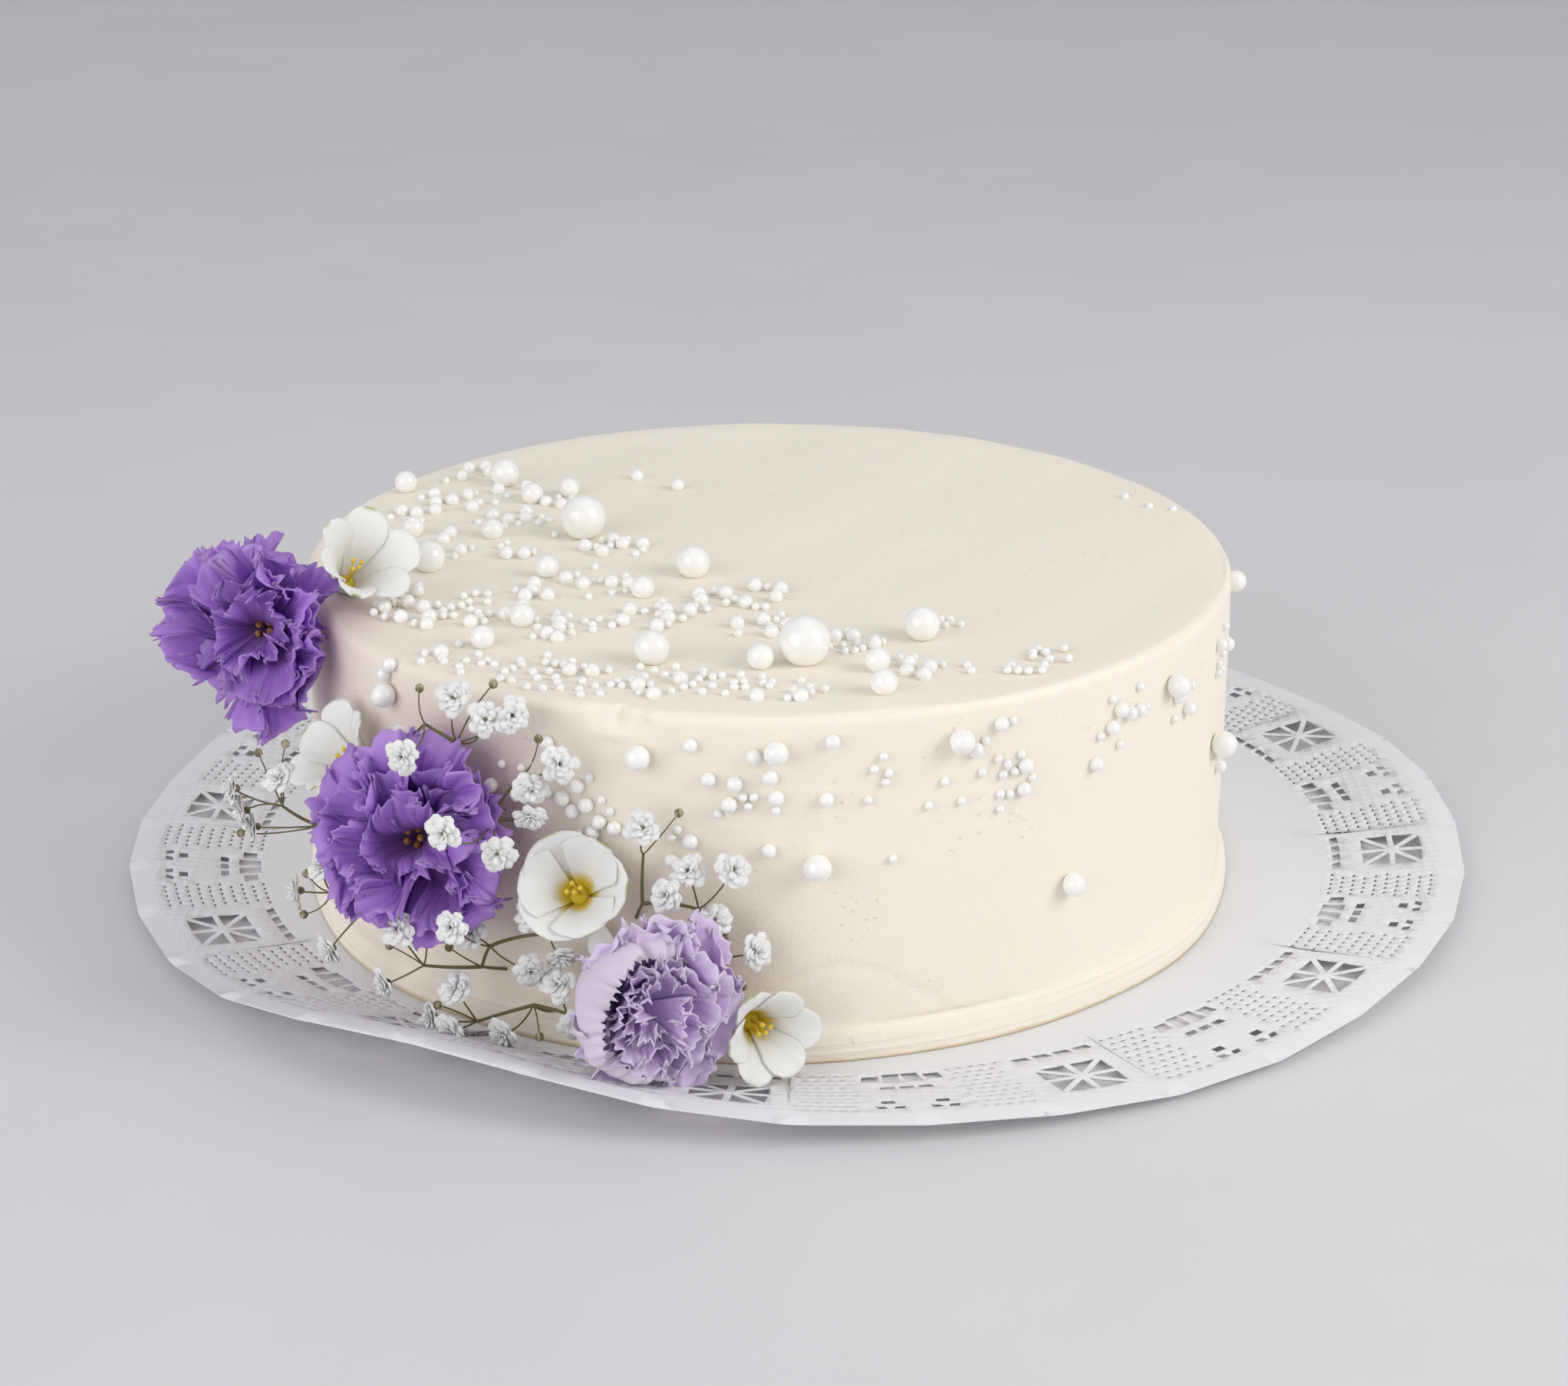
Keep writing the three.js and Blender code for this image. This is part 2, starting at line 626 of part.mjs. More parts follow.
function wholeCake() {
  const group = new THREE.Group();
  const addPiece = (name, solid, look, place = new THREE.Matrix4()) => {
    const geometry = toGeometry(solid);
    geometry.applyMatrix4(place.clone().invert());
    geometry.computeVertexNormals();
    const mesh = new THREE.Mesh(geometry, look);
    mesh.name = name;
    mesh.applyMatrix4(place);
    group.add(mesh);
  };

  const grownCake = cakeBody(GAP);
  const grownDoily = doily(GAP);
  const blocked = [grownCake, grownDoily];
  const clearOf = (solid, others) => (
    others.reduce((rest, other) => largestBody(rest.subtract(other)), solid));

  addPiece('doily', doily(0), material(COLOURS.paper, 0.9));

  LISIANTHUS.forEach((flower, i) => {
    const look = material(flower.closed ? COLOURS.lilac : COLOURS.violet, 0.7);
    const solid = clearOf(lisianthus(flower, 0), blocked);
    addPiece(`lisianthus_${i + 1}`, solid, look, lisianthusPlace(flower));
  });
  blocked.push(...LISIANTHUS.map((flower) => lisianthus(flower, GAP)));

  FREESIAS.forEach((flower, i) => {
    const solid = clearOf(freesia(flower, 0), blocked);
    addPiece(`freesia_${i + 1}`, solid, material(COLOURS.white, 0.7), freesiaPlace(flower));
  });
  blocked.push(...FREESIAS.map((flower) => freesia(flower, GAP)));
  addPiece('freesia_bud', clearOf(bud(), blocked), material(COLOURS.white, 0.7));
  blocked.push(bud());

  const placed = [];
  SPRAYS.forEach((design, i) => {
    const solid = spray(design, [...blocked, ...placed]);
    placed.push(solid);
    addPiece(`babys_breath_${i + 1}`, solid, material(COLOURS.green, 0.8));
  });

  const pearls = largePearls();
  const pearlLook = material(COLOURS.pearl, 0.3);
  for (const [side, list] of Object.entries(pearls)) {
    list.forEach(({ place, diameter }, i) => {
      const solid = clearOf(pearlAt(place, diameter), [grownCake, ...placed]);
      addPiece(`pearl_${side}_${i + 1}`, solid, pearlLook);
    });
  }

  const taken = [...pearls.top, ...pearls.side];
  const whole = cake(taken, [...blocked.slice(1), ...placed]);
  addPiece('cake', whole, material(COLOURS.icing, 0.6));
  return group;
}

export default wholeCake();
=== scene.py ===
# %% [markdown]
# # An iced wedding cake, worked out with numpy
#
# The cake is a low drum of ivory buttercream. It stands on a lace paper doily, sugar pearls are pressed
# into its top and side, and lisianthus, freesias and baby's breath climb its left front.
# Every surface here is a formula of two parameters on a grid, worked out as whole arrays.
# All lengths are in metres, so a value in millimetres is multiplied by MM.

# %% The frame, the tools and the size of the model
import math

import bpy
import numpy as np
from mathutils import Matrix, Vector
from mathutils.geometry import delaunay_2d_cdt


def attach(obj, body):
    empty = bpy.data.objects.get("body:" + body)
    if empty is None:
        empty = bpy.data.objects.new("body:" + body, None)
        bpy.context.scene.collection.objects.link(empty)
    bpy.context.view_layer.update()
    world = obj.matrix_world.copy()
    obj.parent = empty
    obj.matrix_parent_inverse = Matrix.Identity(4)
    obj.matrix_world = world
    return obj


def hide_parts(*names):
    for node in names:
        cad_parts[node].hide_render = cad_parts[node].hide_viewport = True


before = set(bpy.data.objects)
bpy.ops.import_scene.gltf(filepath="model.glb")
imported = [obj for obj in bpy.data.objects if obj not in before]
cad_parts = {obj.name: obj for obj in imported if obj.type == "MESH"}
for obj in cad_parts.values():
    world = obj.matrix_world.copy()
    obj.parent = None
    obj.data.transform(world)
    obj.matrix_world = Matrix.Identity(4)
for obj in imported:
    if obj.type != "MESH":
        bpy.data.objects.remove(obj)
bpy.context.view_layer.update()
MM = 0.001
print("nodes in the frame:", len(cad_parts))

# %% [markdown]
# ## From arrays to a mesh
#
# A surface on a grid needs only its points: the quads follow from the number of rows and columns.
# Blender could make such grids with its own primitives and then move their vertices one by one. Arrays
# are shorter to write and far quicker, and the same helper serves icing, petals, stems and paper.

# %% Helpers that turn arrays into pieces


def grid_faces(rows, columns, wrap=False):
    """Quads of a grid stored row after row. With wrap, the last column joins the first."""
    row = np.arange(rows - 1)[:, None]
    column = np.arange(columns if wrap else columns - 1)[None, :]
    after = (column + 1) % columns
    here, above = row * columns, (row + 1) * columns
    corners = [here + column, here + after, above + after, above + column]
    return np.stack(corners, axis=-1).reshape(-1, 4)


def copies(points, faces, count):
    """Faces of several copies of one shape whose points follow each other in one array."""
    steps = np.arange(count) * points
    return (faces[None, :, :] + steps[:, None, None]).reshape(-1, faces.shape[1])


def new_piece(name, points, faces, slot, material, replaced, uv=None, tone=None):
    """A named object at the origin, made of points and quads, that rides on the cake."""
    mesh = bpy.data.meshes.new(name)
    face_lists = [face.tolist() for group in faces for face in group]
    mesh.from_pydata(np.asarray(points, dtype=float).reshape(-1, 3).tolist(), [], face_lists)
    mesh.polygons.foreach_set("use_smooth", np.ones(len(mesh.polygons), dtype=bool))
    if uv is not None:
        corner = np.empty(len(mesh.loops), dtype=np.int32)
        mesh.loops.foreach_get("vertex_index", corner)
        mesh.uv_layers.new(name="surface").data.foreach_set("uv", uv.reshape(-1, 2)[corner].ravel())
    if tone is not None:
        mesh.attributes.new("tone", "FLOAT", "POINT").data.foreach_set("value", tone.ravel())
    mesh.materials.append(material)
    mesh.validate()
    piece = bpy.data.objects.new(name, mesh)
    bpy.context.scene.collection.objects.link(piece)
    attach(piece, "root")
    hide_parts(*replaced)
    print(f"{name}: {len(mesh.vertices)} points, {len(mesh.polygons)} faces")
    return piece


def thicken(piece, thickness):
    """Give a sheet its thickness, half to each side."""
    wall = piece.modifiers.new("Thickness", "SOLIDIFY")
    wall.thickness = thickness
    wall.offset = 0.0
    return piece


# %% [markdown]
# ## Shader maths as plain expressions
#
# A material is a graph of nodes, but most of a graph is arithmetic. Wrapping a socket in a small class
# lets that arithmetic be written as arithmetic: `0.5 + 0.2 * grain` adds the two Math nodes it needs.
# Anything that isn't arithmetic comes from one method, node().

# %% A wrapped socket and a material under construction


class Value:
    """A socket that can be added, subtracted and multiplied."""

    def __init__(self, finish, socket):
        self.finish = finish
        self.socket = socket

    def calc(self, operation, *values):
        return self.finish.node("ShaderNodeMath", {"operation": operation}, dict(enumerate(values)))

    def __add__(self, other):
        return self.calc("ADD", self, other)

    def __sub__(self, other):
        return self.calc("SUBTRACT", self, other)

    def __rsub__(self, other):
        return self.calc("SUBTRACT", other, self)

    def __mul__(self, other):
        return self.calc("MULTIPLY", self, other)

    __radd__ = __add__
    __rmul__ = __mul__

    def between(self, low, high):
        """0 below low, 1 above high, and smooth from one to the other."""
        settings = {"interpolation_type": "SMOOTHSTEP"}
        return self.finish.node("ShaderNodeMapRange", settings, {0: self, 1: low, 2: high})


class Finish:
    """A material whose nodes all come from node(), except its output."""

    def __init__(self, name):
        self.material = bpy.data.materials.new(name)
        self.material.use_nodes = True
        self.tree = self.material.node_tree
        self.tree.nodes.clear()

    def node(self, kind, settings=None, inputs=None, output=0):
        """A node of this kind, with its settings first and then the numbers or links of its sockets."""
        new = self.tree.nodes.new(kind)
        for key, setting in (settings or {}).items():
            setattr(new, key, setting)
        for key, value in (inputs or {}).items():
            if isinstance(value, Value):
                self.tree.links.new(value.socket, new.inputs[key])
            else:
                new.inputs[key].default_value = value
        return Value(self, new.outputs[output])

    def place(self):
        """Where a point lies in the object's own coordinates, in metres."""
        return self.node("ShaderNodeTexCoord", output="Object")

    def surface(self):
        """The piece's own UV map: how far across a petal a point lies, and how far along it."""
        return self.node("ShaderNodeUVMap", {"uv_map": "surface"})

    def part(self, vector, axis):
        """One part of a vector: 0 for its x, 1 for its y and 2 for its z."""
        return self.node("ShaderNodeSeparateXYZ", {}, {0: vector}, axis)

    def noise(self, where, scale, detail=3.0, rough=0.55):
        inputs = {"Vector": where, "Scale": scale, "Detail": detail, "Roughness": rough}
        return self.node("ShaderNodeTexNoise", {}, inputs)

    def stretched(self, where, scale):
        """Coordinates times a scale for each axis, so that a noise on them is drawn out."""
        return self.node("ShaderNodeMapping", {}, {"Vector": where, "Scale": scale})

    def attribute(self, name):
        return self.node("ShaderNodeAttribute", {"attribute_name": name}, {}, "Fac")

    def mix(self, factor, first, second):
        """The first colour at 0 and the second at 1."""
        return self.node("ShaderNodeMix", {"data_type": "RGBA"}, {0: factor, 6: first, 7: second}, 2)

    def bump(self, height, distance, strength=1.0):
        inputs = {"Height": height, "Distance": distance, "Strength": strength}
        return self.node("ShaderNodeBump", {}, inputs)

    def done(self, shader):
        output = self.tree.nodes.new("ShaderNodeOutputMaterial")
        self.tree.links.new(shader.socket, output.inputs["Surface"])
        return self.material

    def principled(self, **inputs):
        named = {key.replace("_", " "): value for key, value in inputs.items()}
        return self.node("ShaderNodeBsdfPrincipled", {}, named)

    def sheet(self, share, face, tint, **inputs):
        """A thin sheet: its face, mixed with a share of light that shines through from behind."""
        glow = self.node("ShaderNodeBsdfTranslucent", {}, {"Color": tint, **inputs})
        return self.done(self.node("ShaderNodeMixShader", {}, {0: share, 1: face, 2: glow}))


def colour(red, green, blue):
    """A colour given as it looks on a screen, 0 to 255, turned into light."""
    share = np.array([red, green, blue]) / 255.0
    light = np.where(share <= 0.04045, share / 12.92, ((share + 0.055) / 1.055) ** 2.4)
    return (*light.tolist(), 1.0)


# %% [markdown]
# ## Camera, floor and light
#
# The camera looks down on the cake by about 21 degrees, from 0.96 m away, with a long lens. One soft
# source stands at the right, a wider one at the front left, and a weak one hangs overhead. Even light from
# all round fills the shadows. The left of the cake stays a little darker, as the flowers shade it. The
# floor is plain and pale.

# %% Camera
CAMERA_PLACE = Vector((0.0, -0.880, 0.387))
CAMERA_PITCH = math.radians(20.96)
CAMERA_YAW = math.radians(0.28)
CAMERA_LENS = 78.16

camera_data = bpy.data.cameras.new("camera")
camera_data.lens = CAMERA_LENS
camera_data.sensor_width = 36.0
camera = bpy.data.objects.new("camera", camera_data)
camera.location = CAMERA_PLACE
camera.rotation_euler = (math.pi / 2 - CAMERA_PITCH, 0.0, -CAMERA_YAW)
bpy.context.scene.collection.objects.link(camera)
bpy.context.scene.camera = camera
bpy.context.scene.view_settings.view_transform = "Standard"
print("camera:", round(CAMERA_PLACE.length, 3), "m from the origin")

# %% Lights and world


def area_light(name, place, target, size, power, tint):
    """A round soft light at place, size metres across and power watts strong, that faces target."""
    data = bpy.data.lights.new(name, "AREA")
    data.shape = "DISK"
    data.size = size
    data.energy = power
    data.color = tint
    light = bpy.data.objects.new(name, data)
    light.location = place
    light.rotation_euler = (Vector(target) - Vector(place)).to_track_quat("-Z", "Y").to_euler()
    bpy.context.scene.collection.objects.link(light)


area_light("window", (1.05, -0.50, 0.70), (0.0, 0.0, 0.05), 0.8, 7.4, (1.0, 0.985, 0.965))
area_light("top fill", (0.15, 0.45, 1.25), (0.0, 0.0, 0.05), 1.0, 0.8, (0.98, 0.985, 1.0))
area_light("front fill", (-1.0, -0.95, 0.5), (-0.03, 0.0, 0.04), 1.4, 9.0, (0.99, 0.99, 1.0))

world = bpy.data.worlds.new("studio")
world.use_nodes = True
world.node_tree.nodes["Background"].inputs["Color"].default_value = (0.96, 0.965, 1.0, 1.0)
world.node_tree.nodes["Background"].inputs["Strength"].default_value = 0.56
bpy.context.scene.world = world
print("lights:", len(bpy.data.lights))

# %% Floor
floor_finish = Finish("pale floor")
floor_grain = floor_finish.noise(floor_finish.place(), 9.0)
floor_colour = floor_finish.mix(floor_grain, colour(214, 212, 214), colour(223, 221, 223))
floor_material = floor_finish.done(floor_finish.principled(Base_Color=floor_colour, Roughness=0.85))

FLOOR_HALF = 3.0
FLOOR_DROP = -0.0002
FLOOR_CORNERS = ((-1, -1), (1, -1), (1, 1), (-1, 1))
floor_mesh = bpy.data.meshes.new("floor")
floor_mesh.from_pydata([(x * FLOOR_HALF, y * FLOOR_HALF, FLOOR_DROP) for x, y in FLOOR_CORNERS], [],
                       [(0, 1, 2, 3)])
floor_mesh.materials.append(floor_material)
floor = bpy.data.objects.new("floor", floor_mesh)
bpy.context.scene.collection.objects.link(floor)
print("floor:", 2 * FLOOR_HALF, "m wide")

# %% [markdown]
# ## The cake's own measures
#
# A 250 mm cake, 90 mm high, is a common size. These few numbers give every other place on it. The side
# isn't a true cylinder, because a scraper follows the turntable by hand: a few slow waves go round it.

# %% Measures shared by all the pieces
CAKE_RADIUS = 125 * MM
CAKE_TOP = 91.1 * MM
CAKE_FOOT = 1.1 * MM
LEDGE_OUT = 2.6 * MM
LEDGE_HEIGHT = 8.4 * MM
LEDGE_TOP = CAKE_FOOT + LEDGE_HEIGHT
EDGE_ROUNDING = 2.6 * MM
UNDERSIDE = 0.7 * MM
UNDERSIDE_RING = 60 * MM


def side_wobble(angle, height):
    """How far the side stands out: three slow waves of angle and height."""
    high = height / MM
    return MM * (0.35 * np.sin(2 * angle + 0.6) + 0.25 * np.sin(3 * angle + high / 34)
                 + 0.12 * np.sin(7 * angle - high / 15))


def on_side(azimuth, height, out):
    """A place beside the cake from azimuth in degrees, height and stand-off in millimetres."""
    angle = np.radians(azimuth)
    distance = CAKE_RADIUS + out * MM
    return np.array([distance * np.cos(angle), distance * np.sin(angle), height * MM])


DRAW_FACTOR = 16807
DRAW_RANGE = 2147483647


def seeded_draw(seed):
    """Numbers from 0 to 1, drawn by the same rule as in the solid model, so that both scatter alike.

    Each state is the last one times DRAW_FACTOR, less whole multiples of DRAW_RANGE.
    """
    state = seed
    while True:
        state = (state * DRAW_FACTOR) % DRAW_RANGE
        yield state / DRAW_RANGE


def ripples(a, b, seed, count, slowest, fastest):
    """Soft relief round 0: plane waves over a and b in random directions, added up.

    Their sum is divided by the square root of their count, so that more waves aren't deeper.
    """
    draw = np.random.default_rng(seed)
    total = np.zeros(np.broadcast(a, b).shape)
    for _ in range(count):
        turn, phase = draw.uniform(0, 2 * np.pi, 2)
        pace = draw.uniform(slowest, fastest)
        total += np.sin(pace * (np.cos(turn) * a + np.sin(turn) * b) + phase)
    return total / math.sqrt(count)


# %% [markdown]
# ## The icing
#
# Buttercream is spread with a palette knife. It keeps long shallow strokes on the top, a soft lip round
# the rim, and a foot of thin layers where the scraper ran low. A sculpted mesh could show this, but a
# profile turned round the axis, with relief added by formula, keeps the exact size of the real cake. The
# finest grain and the air pits are left to the material.

# %% The profile of the icing, from the middle of the top down to the foot
ICING_AROUND = 640
top_radii = np.concatenate([np.linspace(0.0, 100, 26), np.linspace(102, 122.4, 16)]) * MM
turns = np.radians(np.linspace(0, 90, 8))[1:]
edge_radii = CAKE_RADIUS - EDGE_ROUNDING * (1 - np.sin(turns))
edge_heights = CAKE_TOP - EDGE_ROUNDING * (1 - np.cos(turns))
wall_heights = np.linspace(CAKE_TOP - EDGE_ROUNDING - 1.2 * MM, LEDGE_TOP + 0.6 * MM, 58)
ledge_heights = np.linspace(LEDGE_TOP, UNDERSIDE, 24)
ledge_share = (ledge_heights - UNDERSIDE) / (LEDGE_TOP - UNDERSIDE)
ledge_radii = CAKE_RADIUS + LEDGE_OUT * np.sqrt(np.clip(1 - ledge_share ** 5, 0, 1))
profile_radius = np.concatenate([top_radii, edge_radii, np.full(len(wall_heights), CAKE_RADIUS),
                                 ledge_radii, [UNDERSIDE_RING, 0.0]])
profile_height = np.concatenate([np.full(len(top_radii), CAKE_TOP), edge_heights, wall_heights,
                                 ledge_heights, [UNDERSIDE, UNDERSIDE]])
print("icing profile points:", len(profile_radius))

# %% The profile turned round the axis, and its parts
angle = np.linspace(0, 2 * np.pi, ICING_AROUND, endpoint=False)[None, :]
radius = profile_radius[:, None] + 0 * angle
height = profile_height[:, None] + 0 * angle
on_top = height > CAKE_TOP - 0.1 * MM
off_axis = radius > 1 * MM
near_edge = radius > 110 * MM
wall = (radius > CAKE_RADIUS - 3 * MM) & (height > LEDGE_TOP - 0.5 * MM)
ledge = (radius > CAKE_RADIUS - 1 * MM) & (height < LEDGE_TOP + 0.3 * MM)
print("icing points:", radius.size, "of them on the top:", int(on_top.sum()))

# %% [markdown]
# Relief moves these points up or outwards by sums of sines. On the top they are long strokes of the knife,
# which run aslant, and a low lip that comes and goes round the rim.

# %% Strokes and lip on the top
STROKE_X, STROKE_Y = 0.52, 0.85
LIP_RADIUS, LIP_WIDTH = 117 * MM, 6 * MM
x, y = radius * np.cos(angle), radius * np.sin(angle)
across_stroke = (STROKE_Y * x - STROKE_X * y) / MM
along_stroke = (STROKE_X * x + STROKE_Y * y) / MM
strokes = ripples(across_stroke / 7, along_stroke / 60, 5, 7, 0.6, 1.6)
lip_here = 0.55 + 0.35 * np.sin(3 * angle + 1.2) + 0.2 * np.sin(8 * angle)
lip = np.exp(-((radius - LIP_RADIUS) / LIP_WIDTH) ** 2) * lip_here
height = height + on_top * off_axis * MM * (0.3 * strokes + 0.45 * lip)

# %% [markdown]
# The side has the slow waves of a hand-held scraper, faint level bands, thin layers in the foot, and one
# hairline arc where the knife's edge touched it.

# %% Waves, bands and layers of the side
bands = ripples(angle * 2.2, height / MM / 3.0, 8, 6, 0.5, 1.5)
out = side_wobble(angle, height) * (radius > UNDERSIDE_RING) + 0.07 * MM * bands * wall
layers = np.sin(height / MM * 2.5 + 1.5 * np.sin(2 * angle)) + 0.6 * np.sin(height / MM * 5.7 + 4 * angle)
uneven = ripples(angle * 9, height / MM / 4.0, 12, 6, 0.5, 1.5)
layers = layers * (0.6 + 0.5 * np.sin(5 * angle + height / MM * 0.7))
out = out + ledge * MM * (0.2 * layers + 0.5 * uneven)


def scratch(azimuths, heights, depth, width):
    """A groove along a curve: the nearer to the curve's height at that azimuth, the deeper."""
    degrees = np.degrees(np.where(angle > np.pi, angle - 2 * np.pi, angle))
    curve = np.interp(degrees, azimuths, heights)
    inside = (degrees > azimuths[0]) & (degrees < azimuths[-1])
    return inside * wall * depth * np.exp(-((height / MM - curve) / width) ** 2)


KNIFE_LINE = ([-93, -88, -82, -76, -71, -68], [15.5, 22.5, 26.0, 22.0, 14.0, 9.8])
out = out - MM * scratch(*KNIFE_LINE, 0.55, 0.85)
print("the side stands out by up to", round(float(out.max()) / MM, 2), "mm")

# %% [markdown]
# Something knocked the top edge at the front. The knock is a ragged dent, with a flap of icing pushed out
# below it and a little heap pushed up at each end.

# %% The knock in the top edge
KNOCK_TURN = math.radians(-18)
KNOCK = on_side(-107, 89.6, 0.5)


def mound(along, up, wide, tall):
    """1 in its middle and 0 far off: e to minus the sum of the squares of along / wide and up / tall."""
    return np.exp(-(along / (wide * MM)) ** 2 - (up / (tall * MM)) ** 2)


x, y = (radius + out) * np.cos(angle), (radius + out) * np.sin(angle)
in_front = (y < 0) * near_edge
reach_along = (x - KNOCK[0]) * math.cos(KNOCK_TURN) + (y - KNOCK[1]) * math.sin(KNOCK_TURN)
reach_up = height - KNOCK[2]
dent = mound(reach_along, reach_up, 6.5, 2.6)
ragged = 1 + 0.35 * np.sin(reach_along / MM * 1.1 + 1.0)
flap = mound(reach_along + 1.5 * MM, reach_up + 4.2 * MM, 4, 1.3)
heaps = mound(np.abs(reach_along) - 8.5 * MM, reach_up, 1.8, 1.6)
out = out + MM * (1.3 * flap - 2.8 * dent * ragged) * in_front
height = height + 0.7 * MM * heaps * in_front

radius = radius + out * off_axis
icing_points = np.stack([radius * np.cos(angle), radius * np.sin(angle), height], axis=-1)
print("highest icing:", round(float(height.max()) * 1000, 2), "mm")

# %% [markdown]
# Where the blossoms lean on the icing, painted shade with a painted violet reflection darkens it, most of
# all where they are close. An attribute holds how near each point is, and the material reads it.

# %% Painted shade and violet reflection of the flowers on the icing
LISIANTHUS = [
    dict(name="lisianthus_1", azimuth=-159.6, height=86.5, out=15.8, faces=(-0.34, -0.88, 0.3),
         radius=26, depth=25, ruffle=3.0, closed=0, seed=11, room=0.16),
    dict(name="lisianthus_2", azimuth=-127.8, height=55.5, out=18.6, faces=(-0.24, -0.92, 0.3),
         radius=26.5, depth=26, ruffle=3.2, closed=0, seed=29),
    dict(name="lisianthus_3", azimuth=-102.5, height=26, out=22, faces=(0.4, -0.9, 0.1),
         radius=21.5, depth=30, ruffle=1.8, closed=1, seed=47),
]
PAINTED_SHADE_REACH = 9 * MM
# tint is painted shade, with a painted violet reflection, that grows towards each head
tint = np.zeros(icing_points.shape[:2])
for flower, amount in zip(LISIANTHUS, (0.8, 0.9, 0.3)):
    middle = on_side(flower["azimuth"], flower["height"], flower["out"])
    gap = np.linalg.norm(icing_points - middle, axis=-1) - flower["radius"] * MM
    tint += amount * np.exp(-np.clip(gap, 0, None) / PAINTED_SHADE_REACH)
tint = np.clip(tint, 0, 1)
print("icing with more than half of the tint:", round(100 * float((tint > 0.5).mean()), 1), "%")

# %% [markdown]
# The buttercream is a warm white with soft patches. Fine grain and scattered air pits give it a matt
# skin, light goes a little way into it, and at the very foot a thin line of crumb shows.

# %% Icing material
icing = Finish("buttercream")
icing_place = icing.place()
soft = icing.noise(icing_place, 14.0, 2.0)
ivory = icing.mix(soft, colour(244, 236, 220), colour(248, 241, 228))
# Painted shade and painted violet reflection of the flowers, read from the tone attribute
painted_violet_shade = icing.mix(icing.attribute("tone"), ivory, colour(210, 190, 188))
over_foot = icing.part(icing_place, 2)
crumb_edge = icing.noise(icing.stretched(icing_place, (60.0, 60.0, 20.0)), 3.0)
crumb_line = 1 - (over_foot + 0.0009 * crumb_edge).between(0.0012, 0.0026)
icing_colour = icing.mix(0.75 * crumb_line, painted_violet_shade, colour(205, 178, 132))
fine = icing.noise(icing_place, 950.0, 2.0)
broad = icing.noise(icing.stretched(icing_place, (1.0, 1.0, 3.0)), 130.0, 3.0)
pits = icing.node("ShaderNodeTexVoronoi", {"feature": "F1"}, {"Vector": icing_place, "Scale": 330.0})
pit_share = icing.noise(icing_place, 60.0, 1.0).between(0.56, 0.66)
pit_depth = (1 - pits.between(0.10, 0.22)) * pit_share
icing_bump = icing.bump(0.9 * fine + 0.8 * broad - 1.2 * pit_depth, 0.0002, 0.85)
icing_material = icing.done(icing.principled(
    Base_Color=icing_colour, Roughness=0.5 + 0.1 * soft, Normal=icing_bump,
    Specular_IOR_Level=0.35, Subsurface_Weight=0.25, Subsurface_Radius=(1.0, 0.8, 0.5),
    Subsurface_Scale=0.004))

# %% The icing piece
icing_faces = grid_faces(len(profile_radius), ICING_AROUND, wrap=True)[:, ::-1]
new_piece("icing", icing_points, [icing_faces], "icing", icing_material, ["cake"], tone=tint)

# %% [markdown]
# ## Sugar pearls
#
# The pearls are hard sugar balls with a pearly coat, in four sizes: 2 mm, 4 mm, 6 to 9 mm, and two of
# 13 mm. The large ones lie where the photograph shows them. The small ones lie in drifts, so they are
# scattered by rule round the middle of each drift. One ball, computed once, is copied to all the places
# as arrays, because many real objects would be slow to handle.

# %% One ball as a grid, closed at its poles


def unit_ball(rows, columns):
    """Points of a ball of radius 1: rings of one latitude each, with a point at each pole."""
    latitude = np.linspace(-np.pi / 2, np.pi / 2, rows + 1)[1:-1, None]
    longitude = np.linspace(0, 2 * np.pi, columns, endpoint=False)[None, :]
    rings = np.stack([np.cos(latitude) * np.cos(longitude), np.cos(latitude) * np.sin(longitude),
                      np.sin(latitude) + 0 * longitude], axis=-1).reshape(-1, 3)
    points = np.vstack([rings, [[0, 0, -1], [0, 0, 1]]])
    quads = grid_faces(rows - 1, columns, wrap=True)
    column = np.arange(columns)
    after = (column + 1) % columns
    south, north = len(rings), len(rings) + 1
    low = np.stack([after, column, np.full(columns, south)], axis=-1)
    top = (rows - 2) * columns
    high = np.stack([top + column, top + after, np.full(columns, north)], axis=-1)
    return points, quads, np.vstack([low, high])


def balls(places, diameters, rows, columns):
    """Points and faces of one ball at each place."""
    points, quads, fans = unit_ball(rows, columns)
    places = np.asarray(places)[:, None, :]
    sizes = np.asarray(diameters)[:, None, None] / 2
    every = places + sizes * points[None, :, :]
    count = len(places)
    return every.reshape(-1, 3), [copies(len(points), quads, count), copies(len(points), fans, count)]


# %% Large pearls, where they are seen
SMALL_SINK = 0.22
LARGE_SINK = 0.07
TOP_PEARLS = [
    (-51, 14, 12.5), (9, -86, 13), (-20, -20, 9), (-29, -86, 9), (-91, -15, 9), (39, -69, 9),
    (-76, 61, 8.4), (-2, -90, 6.8), (28, -108, 6.8), (27, -92, 6.4), (-67, 44, 6.3), (-57, 50, 6),
    (-104, 55, 6.5), (-76, 12, 6), (-98, 14, 6), (-59, -20, 6.2), (-33, -37, 6.2), (-63, -59, 6.4),
    (-72, -75, 6.2),
]
SIDE_PEARLS = [
    (-104.3, 79.5, 6.3), (-89.2, 82, 6), (-68.4, 81.3, 6.3), (-35.3, 78.8, 6.2), (-84.7, 52, 7),
    (-52.9, 36, 6.1), (-19.6, 50.5, 7.1), (-138.7, 80.8, 6.3), (0.5, 81, 6), (38, 58, 7),
    (84, 79, 6.3), (128, 50, 6.3),
]


def top_place(x, y, diameter, sink):
    """A pearl's middle on the top: half its diameter up, less the share of it that has sunk in."""
    return np.array([x * MM, y * MM, CAKE_TOP + diameter * (0.5 - sink) * MM])


